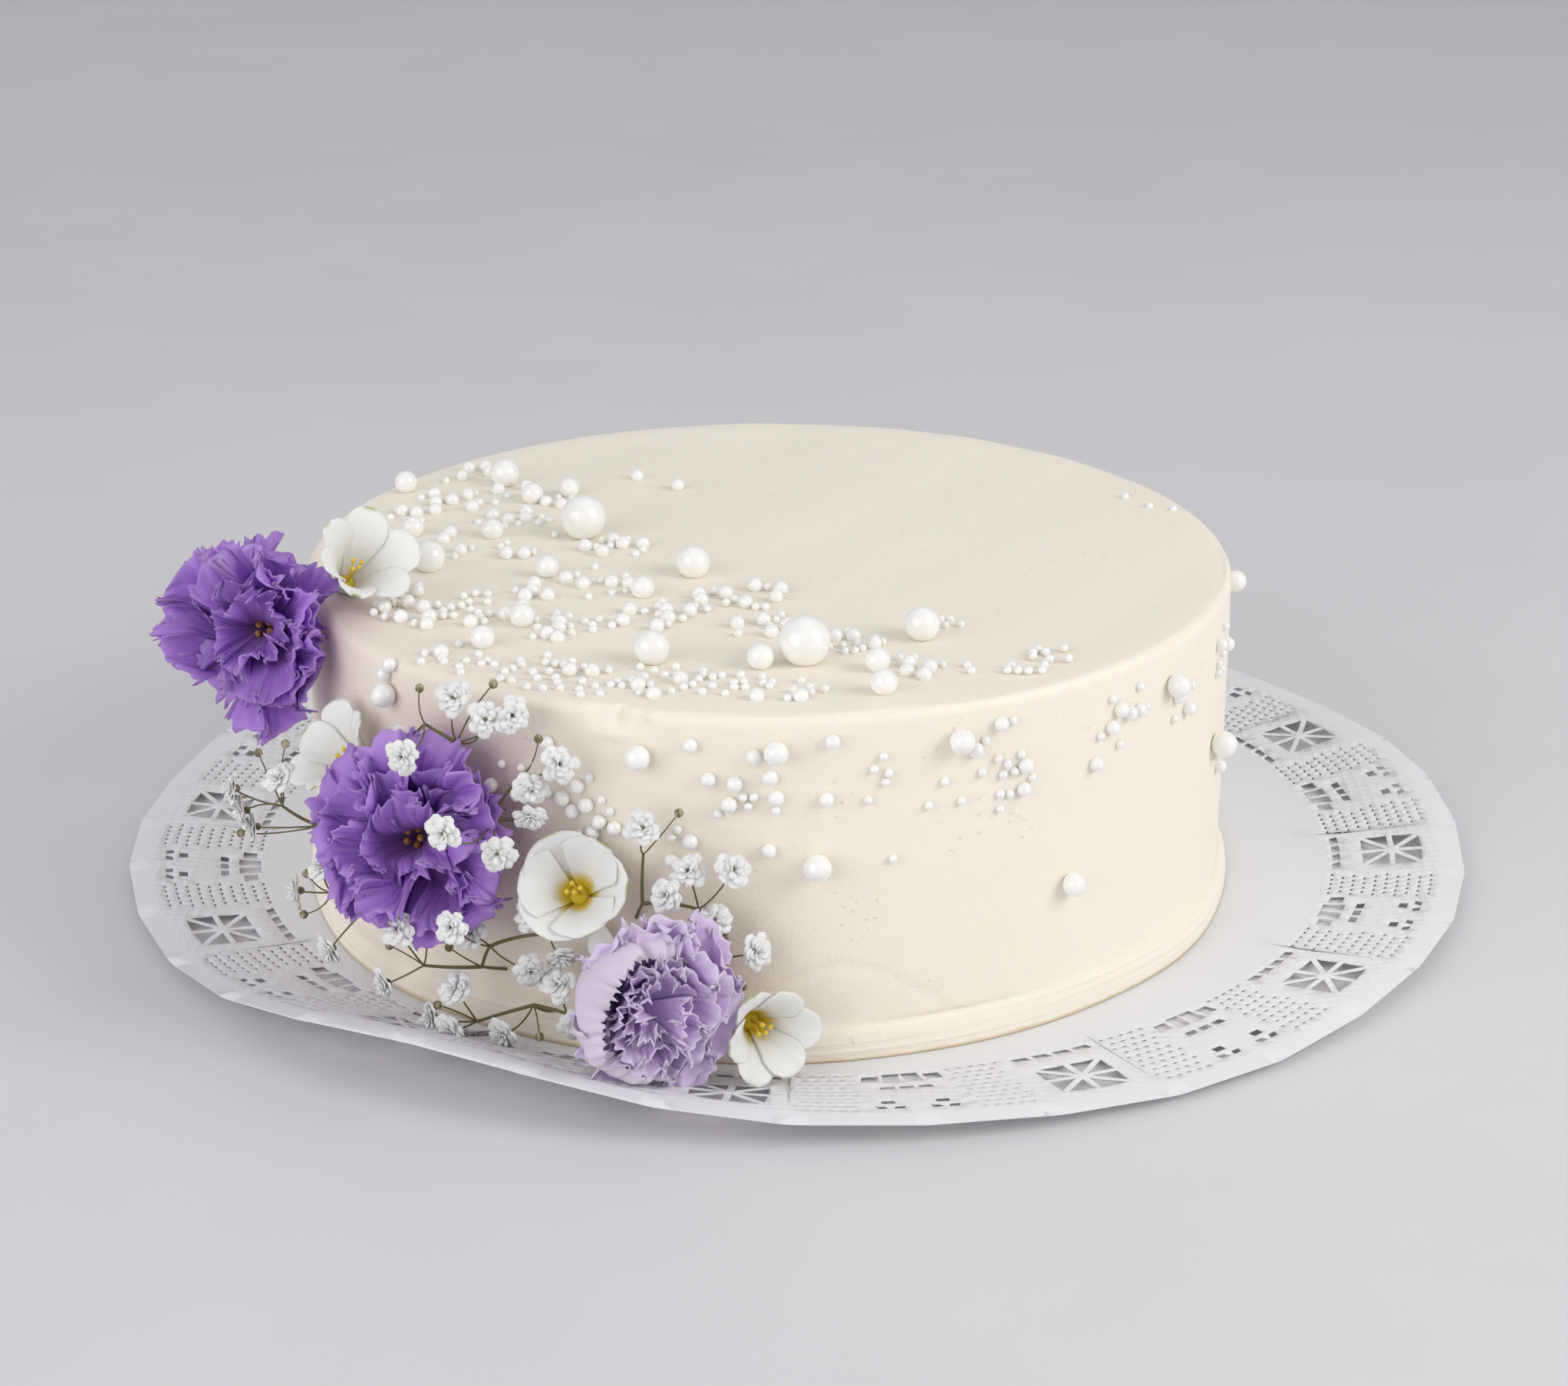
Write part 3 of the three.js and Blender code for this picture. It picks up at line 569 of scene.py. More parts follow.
def side_place(azimuth, height, diameter, sink):
    """The same on the side, out from wherever the wavy icing is at that place."""
    high = CAKE_FOOT / MM + height
    wobble = side_wobble(math.radians(azimuth), high * MM) / MM
    return on_side(azimuth, high, wobble + diameter * (0.5 - sink))


large_places = [top_place(*pearl, LARGE_SINK) for pearl in TOP_PEARLS]
large_places += [side_place(*pearl, LARGE_SINK) for pearl in SIDE_PEARLS]
large_sizes = [pearl[2] * MM for pearl in TOP_PEARLS + SIDE_PEARLS]
print("large pearls:", len(large_places))

# %% [markdown]
# The small pearls fell in drifts. A drift has its middle, its spread in millimetres, how many pearls of
# 4 mm the solid model has there, how many more of 4 mm there are, and how many of 2 mm. The drifts that
# the solid model doesn't have leave out the first number.

# %% The drifts
TOP_DRIFTS = [
    (-85, 70, 8, 2, 4, 4), (-76, 50, 8, 1, 4, 5), (-90, 42, 9, 2, 4, 8), (-104, 29, 8, 1, 4, 5),
    (-90, 5, 9, 2, 4, 8), (-72, 26, 8, 2, 4, 9), (-41, 4, 7, 2, 4, 7), (-58, -30, 9, 2, 4, 9),
    (-45, -28, 8, 2, 4, 10), (-90, -50, 10, 3, 6, 26), (-72, -48, 10, 2, 5, 22),
    (-52, -61, 9, 2, 4, 30), (-76, -84, 8, 1, 1, 20), (-30, -55, 8, 2, 4, 8), (-18, -43, 8, 2, 5, 8),
    (-4, -37, 8, 2, 5, 7), (-25, -101, 9, 1, 2, 26), (-2, -61, 8, 2, 4, 9), (10, -108, 6, 1, 1, 12),
    (22, -73, 6, 1, 2, 34), (40, -92, 8, 1, 3, 14),
]
MORE_TOP_DRIFTS = [
    (-63, 44, 6, 3, 4), (-58, -93, 9, 1, 26), (-46, -101, 8, 1, 34), (-8, -104, 8, 1, 26),
    (64, -93, 4, 0, 10), (71, -82, 4, 0, 14), (46, -61, 4, 0, 5), (-38, 66, 0, 1, 0),
    (-26, 57, 0, 1, 0), (102, 47, 0, 0, 1), (108, 38, 0, 0, 1), (115, 36, 1, 0, 1),
    (-60, -5, 14, 3, 8), (-100, -30, 8, 3, 8),
]
SIDE_DRIFTS = [
    (-90, 74, 6, 2, 3, 8), (-93, 69, 5, 2, 2, 9), (-64, 78, 6, 1, 2, 7), (-61, 69, 5, 1, 1, 22),
    (-45, 76, 7, 2, 3, 10), (-32, 71, 5, 1, 2, 6), (-18, 76, 5, 1, 3, 8), (-16, 45, 5, 1, 2, 6),
    (-112, 64, 7, 2, 5, 14), (-100, 56, 4, 1, 1, 4), (20, 73, 6, 1, 3, 9), (60, 70, 6, 1, 3, 12),
    (95, 70, 6, 1, 3, 9), (140, 72, 7, 1, 4, 12),
]
MORE_SIDE_DRIFTS = [
    (-76, 78, 5, 0, 5), (-79, 71, 4, 0, 3), (-70, 67, 4, 0, 4), (-120, 69, 6, 2, 8), (-115, 77, 4, 1, 5),
    (-108, 63, 4, 2, 7), (-110, 53, 4, 1, 5), (-49, 64, 2, 1, 1), (-83, 84, 0, 1, 0),
    (-98.6, 83, 0, 1, 0), (-96.6, 74.5, 0, 1, 0), (-90, 56, 0, 1, 0), (-83.6, 69, 0, 1, 0),
    (-49.2, 64, 0, 1, 0), (-17.7, 6, 0, 1, 0), (-138, 86, 3, 2, 3), (-76, 52, 0, 0, 1),
    (170, 60, 6, 2, 8), (-63, 61, 0, 0, 1),
]
print("drifts on the top:", len(TOP_DRIFTS + MORE_TOP_DRIFTS))
print("drifts on the side:", len(SIDE_DRIFTS + MORE_SIDE_DRIFTS))

# %% Small pearls dropped into the drifts
TINY = 2.3
SMALL = 4.0
CLEAR_GAP = 0.4 * MM
WIDER, WIDEST = 1.25, 1.35
DEGREES = math.degrees(1 * MM / CAKE_RADIUS)


class Scatter:
    """Places for small pearls, each clear of every pearl that lies there already."""

    def __init__(self, places, sizes):
        self.places = [np.asarray(place) for place in places]
        self.sizes = list(sizes)
        self.added = []

    def drop(self, place, size, gap):
        """Keep a pearl if it is further than gap from all the others."""
        apart = np.linalg.norm(np.array(self.places) - place, axis=1)
        if np.all(apart > (np.array(self.sizes) + size) / 2 + gap):
            self.places.append(place)
            self.sizes.append(size)
            self.added.append((place, size))

    def drift(self, draw, number, spread, size, gap, place_at):
        """Drop pearls evenly over a disc: a random direction, and the root of a random share outwards."""
        for _ in range(number):
            turn = 2 * math.pi * next(draw)
            share = math.sqrt(next(draw))
            self.drop(place_at(spread * share * math.cos(turn), spread * share * math.sin(turn)),
                      size * MM, gap)


def top_at(x, y, size):
    """The rule that turns steps from a drift's middle into a place on the top."""
    return lambda a, b: top_place(x + a, y + b, size, SMALL_SINK)


def side_at(azimuth, height, size):
    """The same on the side, where a step sideways is an angle."""
    return lambda a, b: side_place(azimuth + a * DEGREES, height + b, size, SMALL_SINK)


scatter = Scatter(large_places, large_sizes)
same_draw = seeded_draw(2024)
for x0, y0, spread, number, _, _ in TOP_DRIFTS:
    scatter.drift(same_draw, number, spread, SMALL, CLEAR_GAP, top_at(x0, y0, SMALL))
for azimuth, high, spread, number, _, _ in SIDE_DRIFTS:
    scatter.drift(same_draw, number, spread, SMALL, CLEAR_GAP, side_at(azimuth, high, SMALL))

more_draw = seeded_draw(77)
top_rest = [(a, b, s, n, t) for a, b, s, _, n, t in TOP_DRIFTS] + MORE_TOP_DRIFTS
side_rest = [(a, b, s, n, t) for a, b, s, _, n, t in SIDE_DRIFTS] + MORE_SIDE_DRIFTS
for x0, y0, spread, small, _ in top_rest:
    scatter.drift(more_draw, small, spread * WIDER, SMALL * 0.97, 0.0, top_at(x0, y0, SMALL))
for azimuth, high, spread, small, _ in side_rest:
    scatter.drift(more_draw, small, spread * WIDER, SMALL * 0.93, 0.0, side_at(azimuth, high, SMALL))
for x0, y0, spread, _, tiny in top_rest:
    scatter.drift(more_draw, tiny, spread * WIDEST, TINY, 0.0, top_at(x0, y0, TINY))
for azimuth, high, spread, _, tiny in side_rest:
    scatter.drift(more_draw, tiny, spread * WIDEST, TINY, 0.0, side_at(azimuth, high, TINY))
small_pearls = [(place, size) for place, size in scatter.added if size > 3 * MM]
tiny_pearls = [(place, size) for place, size in scatter.added if size < 3 * MM]
print("small pearls:", len(small_pearls), "tiny pearls:", len(tiny_pearls))

# %% [markdown]
# A pearly coat is brighter and smoother than the sugar below it, with faint cloudy patches. The coat and
# a little sheen of the shader stand for it, because real mother-of-pearl colours would be too strong.

# %% Pearl material
pearl = Finish("pearl sugar")
pearl_place = pearl.place()
cloud = pearl.noise(pearl_place, 260.0, 2.0)
pearl_colour = pearl.mix(cloud, colour(245, 243, 238), colour(252, 251, 248))
pearl_grain = pearl.bump(pearl.noise(pearl_place, 1500.0, 1.0), 0.00002, 0.35)
pearl_material = pearl.done(pearl.principled(
    Base_Color=pearl_colour, Roughness=0.24 + 0.08 * cloud, Normal=pearl_grain, IOR=1.5,
    Coat_Weight=0.8, Coat_Roughness=0.2, Coat_IOR=1.6, Sheen_Weight=0.4, Sheen_Roughness=0.3,
    Subsurface_Weight=0.15, Subsurface_Radius=(1.0, 0.9, 0.8), Subsurface_Scale=0.002))

# %% The pearl pieces
top_nodes = [f"pearl_top_{i + 1}" for i in range(len(TOP_PEARLS))]
side_nodes = [f"pearl_side_{i + 1}" for i in range(len(SIDE_PEARLS))]
new_piece("large_pearls", *balls(large_places, large_sizes, 20, 32), "sugar_pearl", pearl_material,
          top_nodes + side_nodes)
new_piece("small_pearls", *balls(*zip(*small_pearls), 9, 14), "sugar_pearl", pearl_material, ["cake"])
new_piece("tiny_pearls", *balls(*zip(*tiny_pearls), 7, 10), "sugar_pearl", pearl_material, ["cake"])

# %% [markdown]
# ## Petals
#
# A petal is a thin sheet that starts narrow in the throat of its flower and widens towards a frilled
# rim. Its two parameters run across it and along it. The distance from the flower's axis and the height
# over its foot follow from how far along a point lies, and waves that grow towards the rim make the
# frill. One formula serves every blossom on the cake: only the numbers change.

# %% The petal formula


def petal_points(petal, rows, columns):
    """Points, and their two parameters, of one petal in its flower's own frame.

    across runs from -1 to 1 and along from 0 to 1. The angle round the axis is turn + spread * across,
    and twist adds to it along the petal. reach is along, shortened at the corners of the rim and notched
    by its teeth. The radius and the height are curves of reach: flare keeps a petal steep and then
    throws it outwards, bow adds a wave to its height, and curl bends its rim down. The ripple moves a
    point along the normal of the curve, and the swing moves it sideways, so that folds lean over.
    """
    across = np.linspace(-1, 1, columns)[None, :]
    along = np.linspace(0, 1, rows)[:, None]
    comb = petal["comb"] * across
    teeth = petal["teeth"] * (np.sin(comb + petal["phase"]) + np.sin(0.57 * comb + 2.0)) * along ** 12
    reach = along * (1 - petal["rounding"] * np.abs(across) ** 2.4) + teeth
    flare, length = petal["flare"], petal["radius"] - petal["throat"]
    slope = 1 - flare + 2 * flare * reach
    climb = 1.6 - 1.2 * reach
    radius = petal["throat"] + length * reach * (1 - flare + flare * reach)
    height = petal["foot"] + petal["depth"] * reach * (1.6 - 0.6 * reach)
    scale = np.hypot(petal["radius"] * slope, petal["depth"] * climb)
    waves, phase = petal["waves"] * np.pi * across, petal["phase"]
    large = reach ** 2 * (np.sin(waves + phase) + 0.45 * np.sin(2.3 * waves + 1.7 * phase))
    small = reach ** 4 * (0.4 * np.sin(5.3 * waves + 2.9 * phase) + 0.36 * np.sin(12.1 * waves + phase))
    ripple = petal["ruffle"] * (large + small) / scale
    swing = petal["fold"] * reach ** 2 * np.cos(1.9 * waves + 1.3 * phase)
    angle = petal["turn"] + petal["spread"] * across + petal["twist"] * along + swing
    outward = radius - ripple * petal["depth"] * climb
    bow = petal["bow"] * np.sin(4.5 * reach + phase) * reach
    upward = height + ripple * petal["radius"] * slope - petal["curl"] * reach ** 5 + bow
    points = np.stack([outward * np.cos(angle), outward * np.sin(angle), upward + 0 * angle], axis=-1)
    uv = np.stack([0.5 + 0.5 * across + 0 * along, along + 0 * across], axis=-1)
    return points, uv


PLAIN_PETAL = dict(spread=0.7, throat=2.0, foot=0.0, flare=0.4, rounding=0.2, ruffle=0.5, waves=1.0,
                   phase=0.0, fold=0.0, teeth=0.0, comb=60.0, twist=0.0, curl=0.0, bow=0.0, tone=0.5)


def facing(place, faces):
    """The matrix that turns +Z towards faces, and the place it starts from.

    Its rows are a level direction square to faces, the one square to both, and faces itself.
    """
    axis = np.asarray(faces, dtype=float)
    axis /= np.linalg.norm(axis)
    side = np.cross([0.0, 0.0, 1.0], axis)
    side /= np.linalg.norm(side)
    return np.stack([side, np.cross(axis, side), axis], axis=0), np.asarray(place, dtype=float)


def blossom(petals, place, faces, rows, columns):
    """All the petals of a flower, turned and set in place, as one set of points and quads."""
    turn, origin = facing(place, faces)
    points, uvs, tones = [], [], []
    for petal in petals:
        shape, uv = petal_points(petal, rows, columns)
        points.append(shape.reshape(-1, 3) * MM @ turn + origin)
        uvs.append(uv.reshape(-1, 2))
        tones.append(np.full(rows * columns, petal["tone"]))
    quads = copies(rows * columns, grid_faces(rows, columns), len(petals))
    return np.vstack(points), quads, np.vstack(uvs), np.concatenate(tones)


def crumple(points, amount, seed):
    """Push points by eight slow waves that cross in all directions, the same for sheets that touch.

    Each wave adds amount times one direction times the sine of the distance along another direction, so
    the roundness of a blossom is lost but its sheets keep apart.
    """
    draw = np.random.default_rng(seed)
    moved = points.copy()
    for _ in range(8):
        along, push = draw.normal(size=(2, 3))
        along *= 2 * np.pi / (draw.uniform(11.0, 26.0) * MM * np.linalg.norm(along))
        push *= amount * MM / np.linalg.norm(push)
        moved += push * np.sin(points @ along + draw.uniform(0, 2 * np.pi))[:, None]
    return moved


# %% [markdown]
# ## Lisianthus
#
# A double lisianthus has rings of wide, frilled petals. Two of the heads are deep violet and wide open.
# The third is lilac: smooth pale outer petals hold a tight mass of narrow fringed ones. Scanned petals
# would be closer to one real flower, but rings of the petal formula with drawn numbers give each petal its
# own frill from a few lines. Each ring starts a little higher than the one outside it, so the rings nest.

# %% Petals of one head


def ring_of_petals(draw, flower, number, radius, depth, foot, **more):
    """Petals evenly round the axis, each a little different from its neighbours.

    radius, depth and foot are shares of the flower's own. lean makes the petals at angle 0 longer and
    those opposite shorter.
    """
    start = draw.uniform(0, 2 * np.pi)
    petals = []
    for i in range(number):
        petal = dict(PLAIN_PETAL, **more)
        petal["turn"] = start + 2 * np.pi * (i + draw.uniform(-0.22, 0.22)) / number
        petal["radius"] = flower["radius"] * radius * draw.uniform(0.9, 1.06)
        petal["depth"] = flower["depth"] * depth * draw.uniform(0.85, 1.1)
        petal["foot"] = flower["depth"] * foot + 0.4 * (i % 2)
        petal["spread"] *= draw.uniform(0.88, 1.12)
        petal["ruffle"] *= flower["ruffle"] * draw.uniform(0.8, 1.25)
        petal["waves"] *= draw.uniform(0.8, 1.25)
        petal["phase"] = draw.uniform(0, 2 * np.pi)
        petal["twist"] = draw.uniform(-0.25, 0.25)
        petal["tone"] = draw.uniform(0.0, 1.0)
        petal["radius"] *= 1 + petal.pop("lean", 0.0) * math.cos(petal["turn"])
        petals.append(petal)
    return petals


def unruly(draw, petals):
    """Let each petal stand or lie, curl and bow as it likes, so that the head isn't a rosette."""
    for petal in petals:
        petal["flare"] += draw.uniform(-0.5, 0.2)
        petal["depth"] *= draw.uniform(0.75, 1.25)
        petal["curl"] += draw.uniform(-2.5, 3.5)
        petal["bow"] = draw.uniform(-1.6, 1.6)
    return petals


def open_head(flower):
    """The outer petals lie nearly flat, the inner ones stand, and the heart closes on the axis.

    room shortens the outer rings on the side where a freesia lies against the head.
    """
    draw = np.random.default_rng(flower["seed"])
    rim = dict(teeth=0.026, comb=70.0, fold=0.16, rounding=0.24)
    outer = ring_of_petals(draw, flower, 6, 1.0, 0.56, 0.0, spread=0.74, throat=4.0, flare=0.3,
                           ruffle=0.85, waves=1.6, curl=1.0, **rim)
    middle = ring_of_petals(draw, flower, 6, 0.86, 0.7, 0.06, spread=0.7, throat=4.0, flare=0.0,
                            ruffle=1.2, waves=1.6, **rim)
    inner = ring_of_petals(draw, flower, 5, 0.66, 0.74, 0.14, spread=0.76, throat=3.6, flare=-0.1,
                           ruffle=1.15, waves=1.7, **rim)
    heart = ring_of_petals(draw, flower, 4, 0.4, 0.66, 0.14, spread=0.9, throat=0.3, flare=-0.2,
                           ruffle=0.75, waves=1.6, **rim)
    for petal in outer + middle:
        petal["radius"] *= 1 - flower.get("room", 0) * max(0.0, math.cos(petal["turn"] - 0.6))
    return unruly(draw, outer + middle + inner) + heart


# The turn, radius, depth and phase of each smooth petal
SMOOTH_PETALS = ((2.75, 0.66, 1.04, 0.3), (4.05, 0.66, 0.94, 2.0), (1.55, 0.65, 0.86, 4.2))
# The number, radius, foot and depth of each fringed ring
FRINGED_RINGS = ((8, 0.97, 0.26, 0.54), (7, 0.8, 0.34, 0.54), (6, 0.62, 0.42, 0.52),
                 (5, 0.44, 0.48, 0.5), (4, 0.26, 0.54, 0.46))
PALE_TONE = 2.0


def tight_head(flower):
    """Smooth pale outer petals that bulge, on one side only, round rings of narrow fringed ones."""
    draw = np.random.default_rng(flower["seed"])
    outer = []
    for turn, radius, depth, phase in SMOOTH_PETALS:
        outer.append(dict(PLAIN_PETAL, turn=turn, radius=flower["radius"] * radius, phase=phase,
                          depth=flower["depth"] * depth, throat=4.0, spread=0.95, flare=-3.3,
                          rounding=0.16, ruffle=1.6, waves=0.8, teeth=0.02, comb=70.0,
                          tone=PALE_TONE))
    inner = []
    for number, radius, foot, depth in FRINGED_RINGS:
        inner += ring_of_petals(draw, flower, number, 0.98 * radius, depth, foot, spread=0.7,
                                throat=1.4, flare=-0.8, rounding=0.16, ruffle=1.4, waves=1.0,
                                fold=0.2, teeth=0.03, comb=44.0, lean=0.2)
    for petal in inner:
        petal["curl"] = draw.uniform(-1.5, 2.0)
        petal["bow"] = draw.uniform(-1.0, 1.0)
    return outer + inner


# %% [markdown]
# A petal is palest at its rim, and painted shade darkens it into its throat, where the heart of the flower
# lies in shadow. Fine veins run along it. It is so thin that light shines through, so its face is mixed
# with a translucent shader. The tone attribute differs from petal to petal. The smooth outer petals have a
# tone of 2, which turns them paler.

# %% Violet and lilac petal materials


def petal_finish(name, painted_throat_shade, body, rim, pale, thin):
    """Petals darken into the throat with painted shade, pale at the rim, and have fine veins that run
    along them.
    """
    petal = Finish(name)
    surface = petal.surface()
    along = petal.part(surface, 1)
    tone = petal.attribute("tone")
    veins = petal.noise(petal.stretched(surface, (34.0, 1.6, 1.0)), 1.0, 4.0, 0.6)
    broad_veins = petal.noise(petal.stretched(surface, (9.0, 0.8, 1.0)), 1.0, 2.0, 0.5)
    mottle = petal.noise(petal.place(), 420.0, 2.0)
    # Painted shade: the colour darkens into the throat, where the heart of the flower is in shadow
    out_of_painted_shade = petal.mix(along.between(0.05, 0.7), painted_throat_shade, body)
    to_rim = petal.mix((along + 0.25 * broad_veins).between(0.78, 1.2), out_of_painted_shade, rim)
    veined = petal.mix(0.55 * veins.between(0.42, 0.7), to_rim, rim)
    shaded = petal.mix(0.35 * tone.between(0.0, 1.0) + 0.15 * mottle, veined, body)
    paler = petal.mix(tone.between(1.2, 1.9) * 0.8, shaded, pale)
    relief = petal.bump(veins + 0.5 * broad_veins, 0.0004, 0.6)
    face = petal.principled(Base_Color=paler, Roughness=0.62, Normal=relief, Specular_IOR_Level=0.2,
                            Sheen_Weight=0.08, Sheen_Roughness=0.45)
    return petal.sheet(thin, face, paler, Normal=relief)


violet_material = petal_finish("violet petal", colour(112, 58, 140), colour(196, 142, 232),
                               colour(222, 190, 246), colour(206, 192, 220), 0.45)
lilac_material = petal_finish("lilac petal", colour(210, 180, 240), colour(236, 216, 250),
                              colour(244, 236, 252), colour(240, 233, 240), 0.35)

heart = Finish("brown heart")
heart_spots = heart.noise(heart.place(), 900.0, 2.0)
heart_colour = heart.mix(heart_spots.between(0.4, 0.6), colour(122, 74, 48), colour(176, 128, 60))
heart_material = heart.done(heart.principled(Base_Color=heart_colour, Roughness=0.7))

# %% The three heads
STAMENS = 5
for flower in LISIANTHUS:
    lilac = flower["closed"] == 1
    head = tight_head(flower) if lilac else open_head(flower)
    faces_to = np.array(flower["faces"]) / np.linalg.norm(flower["faces"])
    middle = on_side(flower["azimuth"], flower["height"], flower["out"])
    foot_place = middle - faces_to * flower["depth"] * 0.5 * MM
    rows, columns = (15, 56) if lilac else (19, 90)
    points, quads, uv, tone = blossom(head, foot_place, faces_to, rows, columns)
    points = crumple(points, 0.6 if lilac else 1.0, flower["seed"])
    piece = new_piece(flower["name"] + "_petals", points, [quads],
                      "petal_lilac" if lilac else "petal_violet",
                      lilac_material if lilac else violet_material, [flower["name"]], uv, tone)
    thicken(piece, 0.3 * MM)
    if not lilac:
        turn, origin = facing(foot_place, faces_to)
        around = np.linspace(0, 2 * np.pi, STAMENS + 1)[:-1]
        tips = np.stack([2.1 * np.cos(around), 2.1 * np.sin(around), 9.5 + np.cos(3 * around)], axis=-1)
        heads = balls(tips * MM @ turn + origin, [2.0 * MM] * STAMENS, 7, 9)
        new_piece(flower["name"] + "_stamens", *heads, "petal_violet", heart_material, [flower["name"]])

# %% [markdown]
# ## Freesias
#
# A freesia has six broad white petals on a tapered tube. The throat is yellow-green, a few yellow anthers
# stand in it, and the tips of some petals keep a little green. One of the four is still a bowl, and the
# others have opened to a point on each petal. The petal formula makes both, and the tube and stamens are
# rings carried along a path.

# %% Freesia petals
FREESIAS = [
    dict(name="freesia_1", azimuth=-163.2, height=93, out=-8.5, faces=(0.38, -0.62, 0.68),
         radius=15, depth=20, room=0.2, pale=0.3),
    dict(name="freesia_2", azimuth=-143.5, height=56.3, out=1, faces=(-0.62, -0.42, 0.66),
         radius=13, depth=18, pale=0.2),
    dict(name="freesia_3", azimuth=-111.2, height=42, out=2.4, faces=(-0.15, -0.8, 0.58),
         radius=13.5, depth=14, bowl=1),
    dict(name="freesia_4", azimuth=-92.5, height=13.6, out=3, faces=(0.42, -0.88, 0.1),
         radius=12.5, depth=17),
]


def freesia_petals(flower, seed):
    """Six petals 60 degrees apart, of which every other one lies inside its neighbours.

    room shortens the three petals that lie against another flower.
    """
    draw = np.random.default_rng(seed)
    closed = flower.get("bowl", 0)
    petals = []
    for i in range(6):
        inner = i % 2
        shorter = 1 - flower.get("room", 0) * (i in (2, 3, 4))
        petals.append(dict(
            PLAIN_PETAL, turn=math.pi * i / 3 + draw.uniform(-0.06, 0.06), spread=0.7 + 0.2 * closed,
            radius=flower["radius"] * (1.04 - 0.08 * inner) * shorter,
            depth=flower["depth"] * (1 - 0.04 * inner), foot=0.5 * inner, throat=2.4 - 0.6 * inner,
            flare=0.1 - 0.25 * closed, rounding=0.42 - 0.22 * closed, ruffle=0.4, curl=1.2,
            phase=draw.uniform(0, 6.2), tone=draw.uniform(0, 1)))
    return petals


# %% Tubes along a path


def sweep(path, radii, sides):
    """A tube round a path: rings of the given radii, square to the path at each point."""
    path = np.asarray(path)
    along = np.gradient(path, axis=0)
    along /= np.linalg.norm(along, axis=1, keepdims=True)
    helper = np.where(np.abs(along[:, 2:3]) > 0.9, [[1.0, 0.0, 0.0]], [[0.0, 0.0, 1.0]])
    first = np.cross(along, helper)
    first /= np.linalg.norm(first, axis=1, keepdims=True)
    second = np.cross(along, first)
    turn = np.linspace(0, 2 * np.pi, sides, endpoint=False)[None, :, None]
    ring = np.cos(turn) * first[:, None, :] + np.sin(turn) * second[:, None, :]
    return path[:, None, :] + np.asarray(radii)[:, None, None] * ring


def bent_path(start, end, bend, steps):
    """A curve from start to end, pushed aside by bend in its middle, as a parabola."""
    share = np.linspace(0, 1, steps)[:, None]
    return start + (end - start) * share + np.asarray(bend) * (4 * share * (1 - share))


# %% [markdown]
# The white of a petal isn't flat: veins run along it, yellow climbs out of the throat along them, and
# green shows on the middle rib at the tip.

# %% Freesia materials
freesia = Finish("white freesia")
freesia_uv = freesia.surface()
freesia_along = freesia.part(freesia_uv, 1)
from_rib = freesia.part(freesia_uv, 0) - 0.5
freesia_veins = freesia.noise(freesia.stretched(freesia_uv, (26.0, 1.2, 1.0)), 1.0, 3.0)
white_petal = freesia.mix(freesia_veins, colour(250, 250, 247), colour(254, 254, 251))
throat_share = 1 - (freesia_along + 0.16 * freesia_veins).between(0.2, 0.42)
throat_petal = freesia.mix(throat_share, white_petal, colour(236, 212, 60))
middle_rib = 1 - (from_rib * from_rib * 40).between(0.0, 0.5)
green_tip = freesia_along.between(0.93, 1.0) * middle_rib * freesia.attribute("tone").between(0.2, 0.5)
freesia_colour = freesia.mix(0.75 * green_tip, throat_petal, colour(176, 196, 92))
freesia_relief = freesia.bump(freesia_veins, 0.0003, 0.4)
freesia_face = freesia.principled(Base_Color=freesia_colour, Roughness=0.5, Normal=freesia_relief,
                                  Specular_IOR_Level=0.35, Sheen_Weight=0.15, Sheen_Roughness=0.4)
freesia_material = freesia.sheet(0.25, freesia_face, freesia_colour)

anther = Finish("yellow anther")
anther_spots = anther.noise(anther.place(), 900.0, 2.0)
anther_colour = anther.mix(anther_spots, colour(214, 178, 44), colour(240, 210, 84))
anther_material = anther.done(anther.principled(Base_Color=anther_colour, Roughness=0.7))

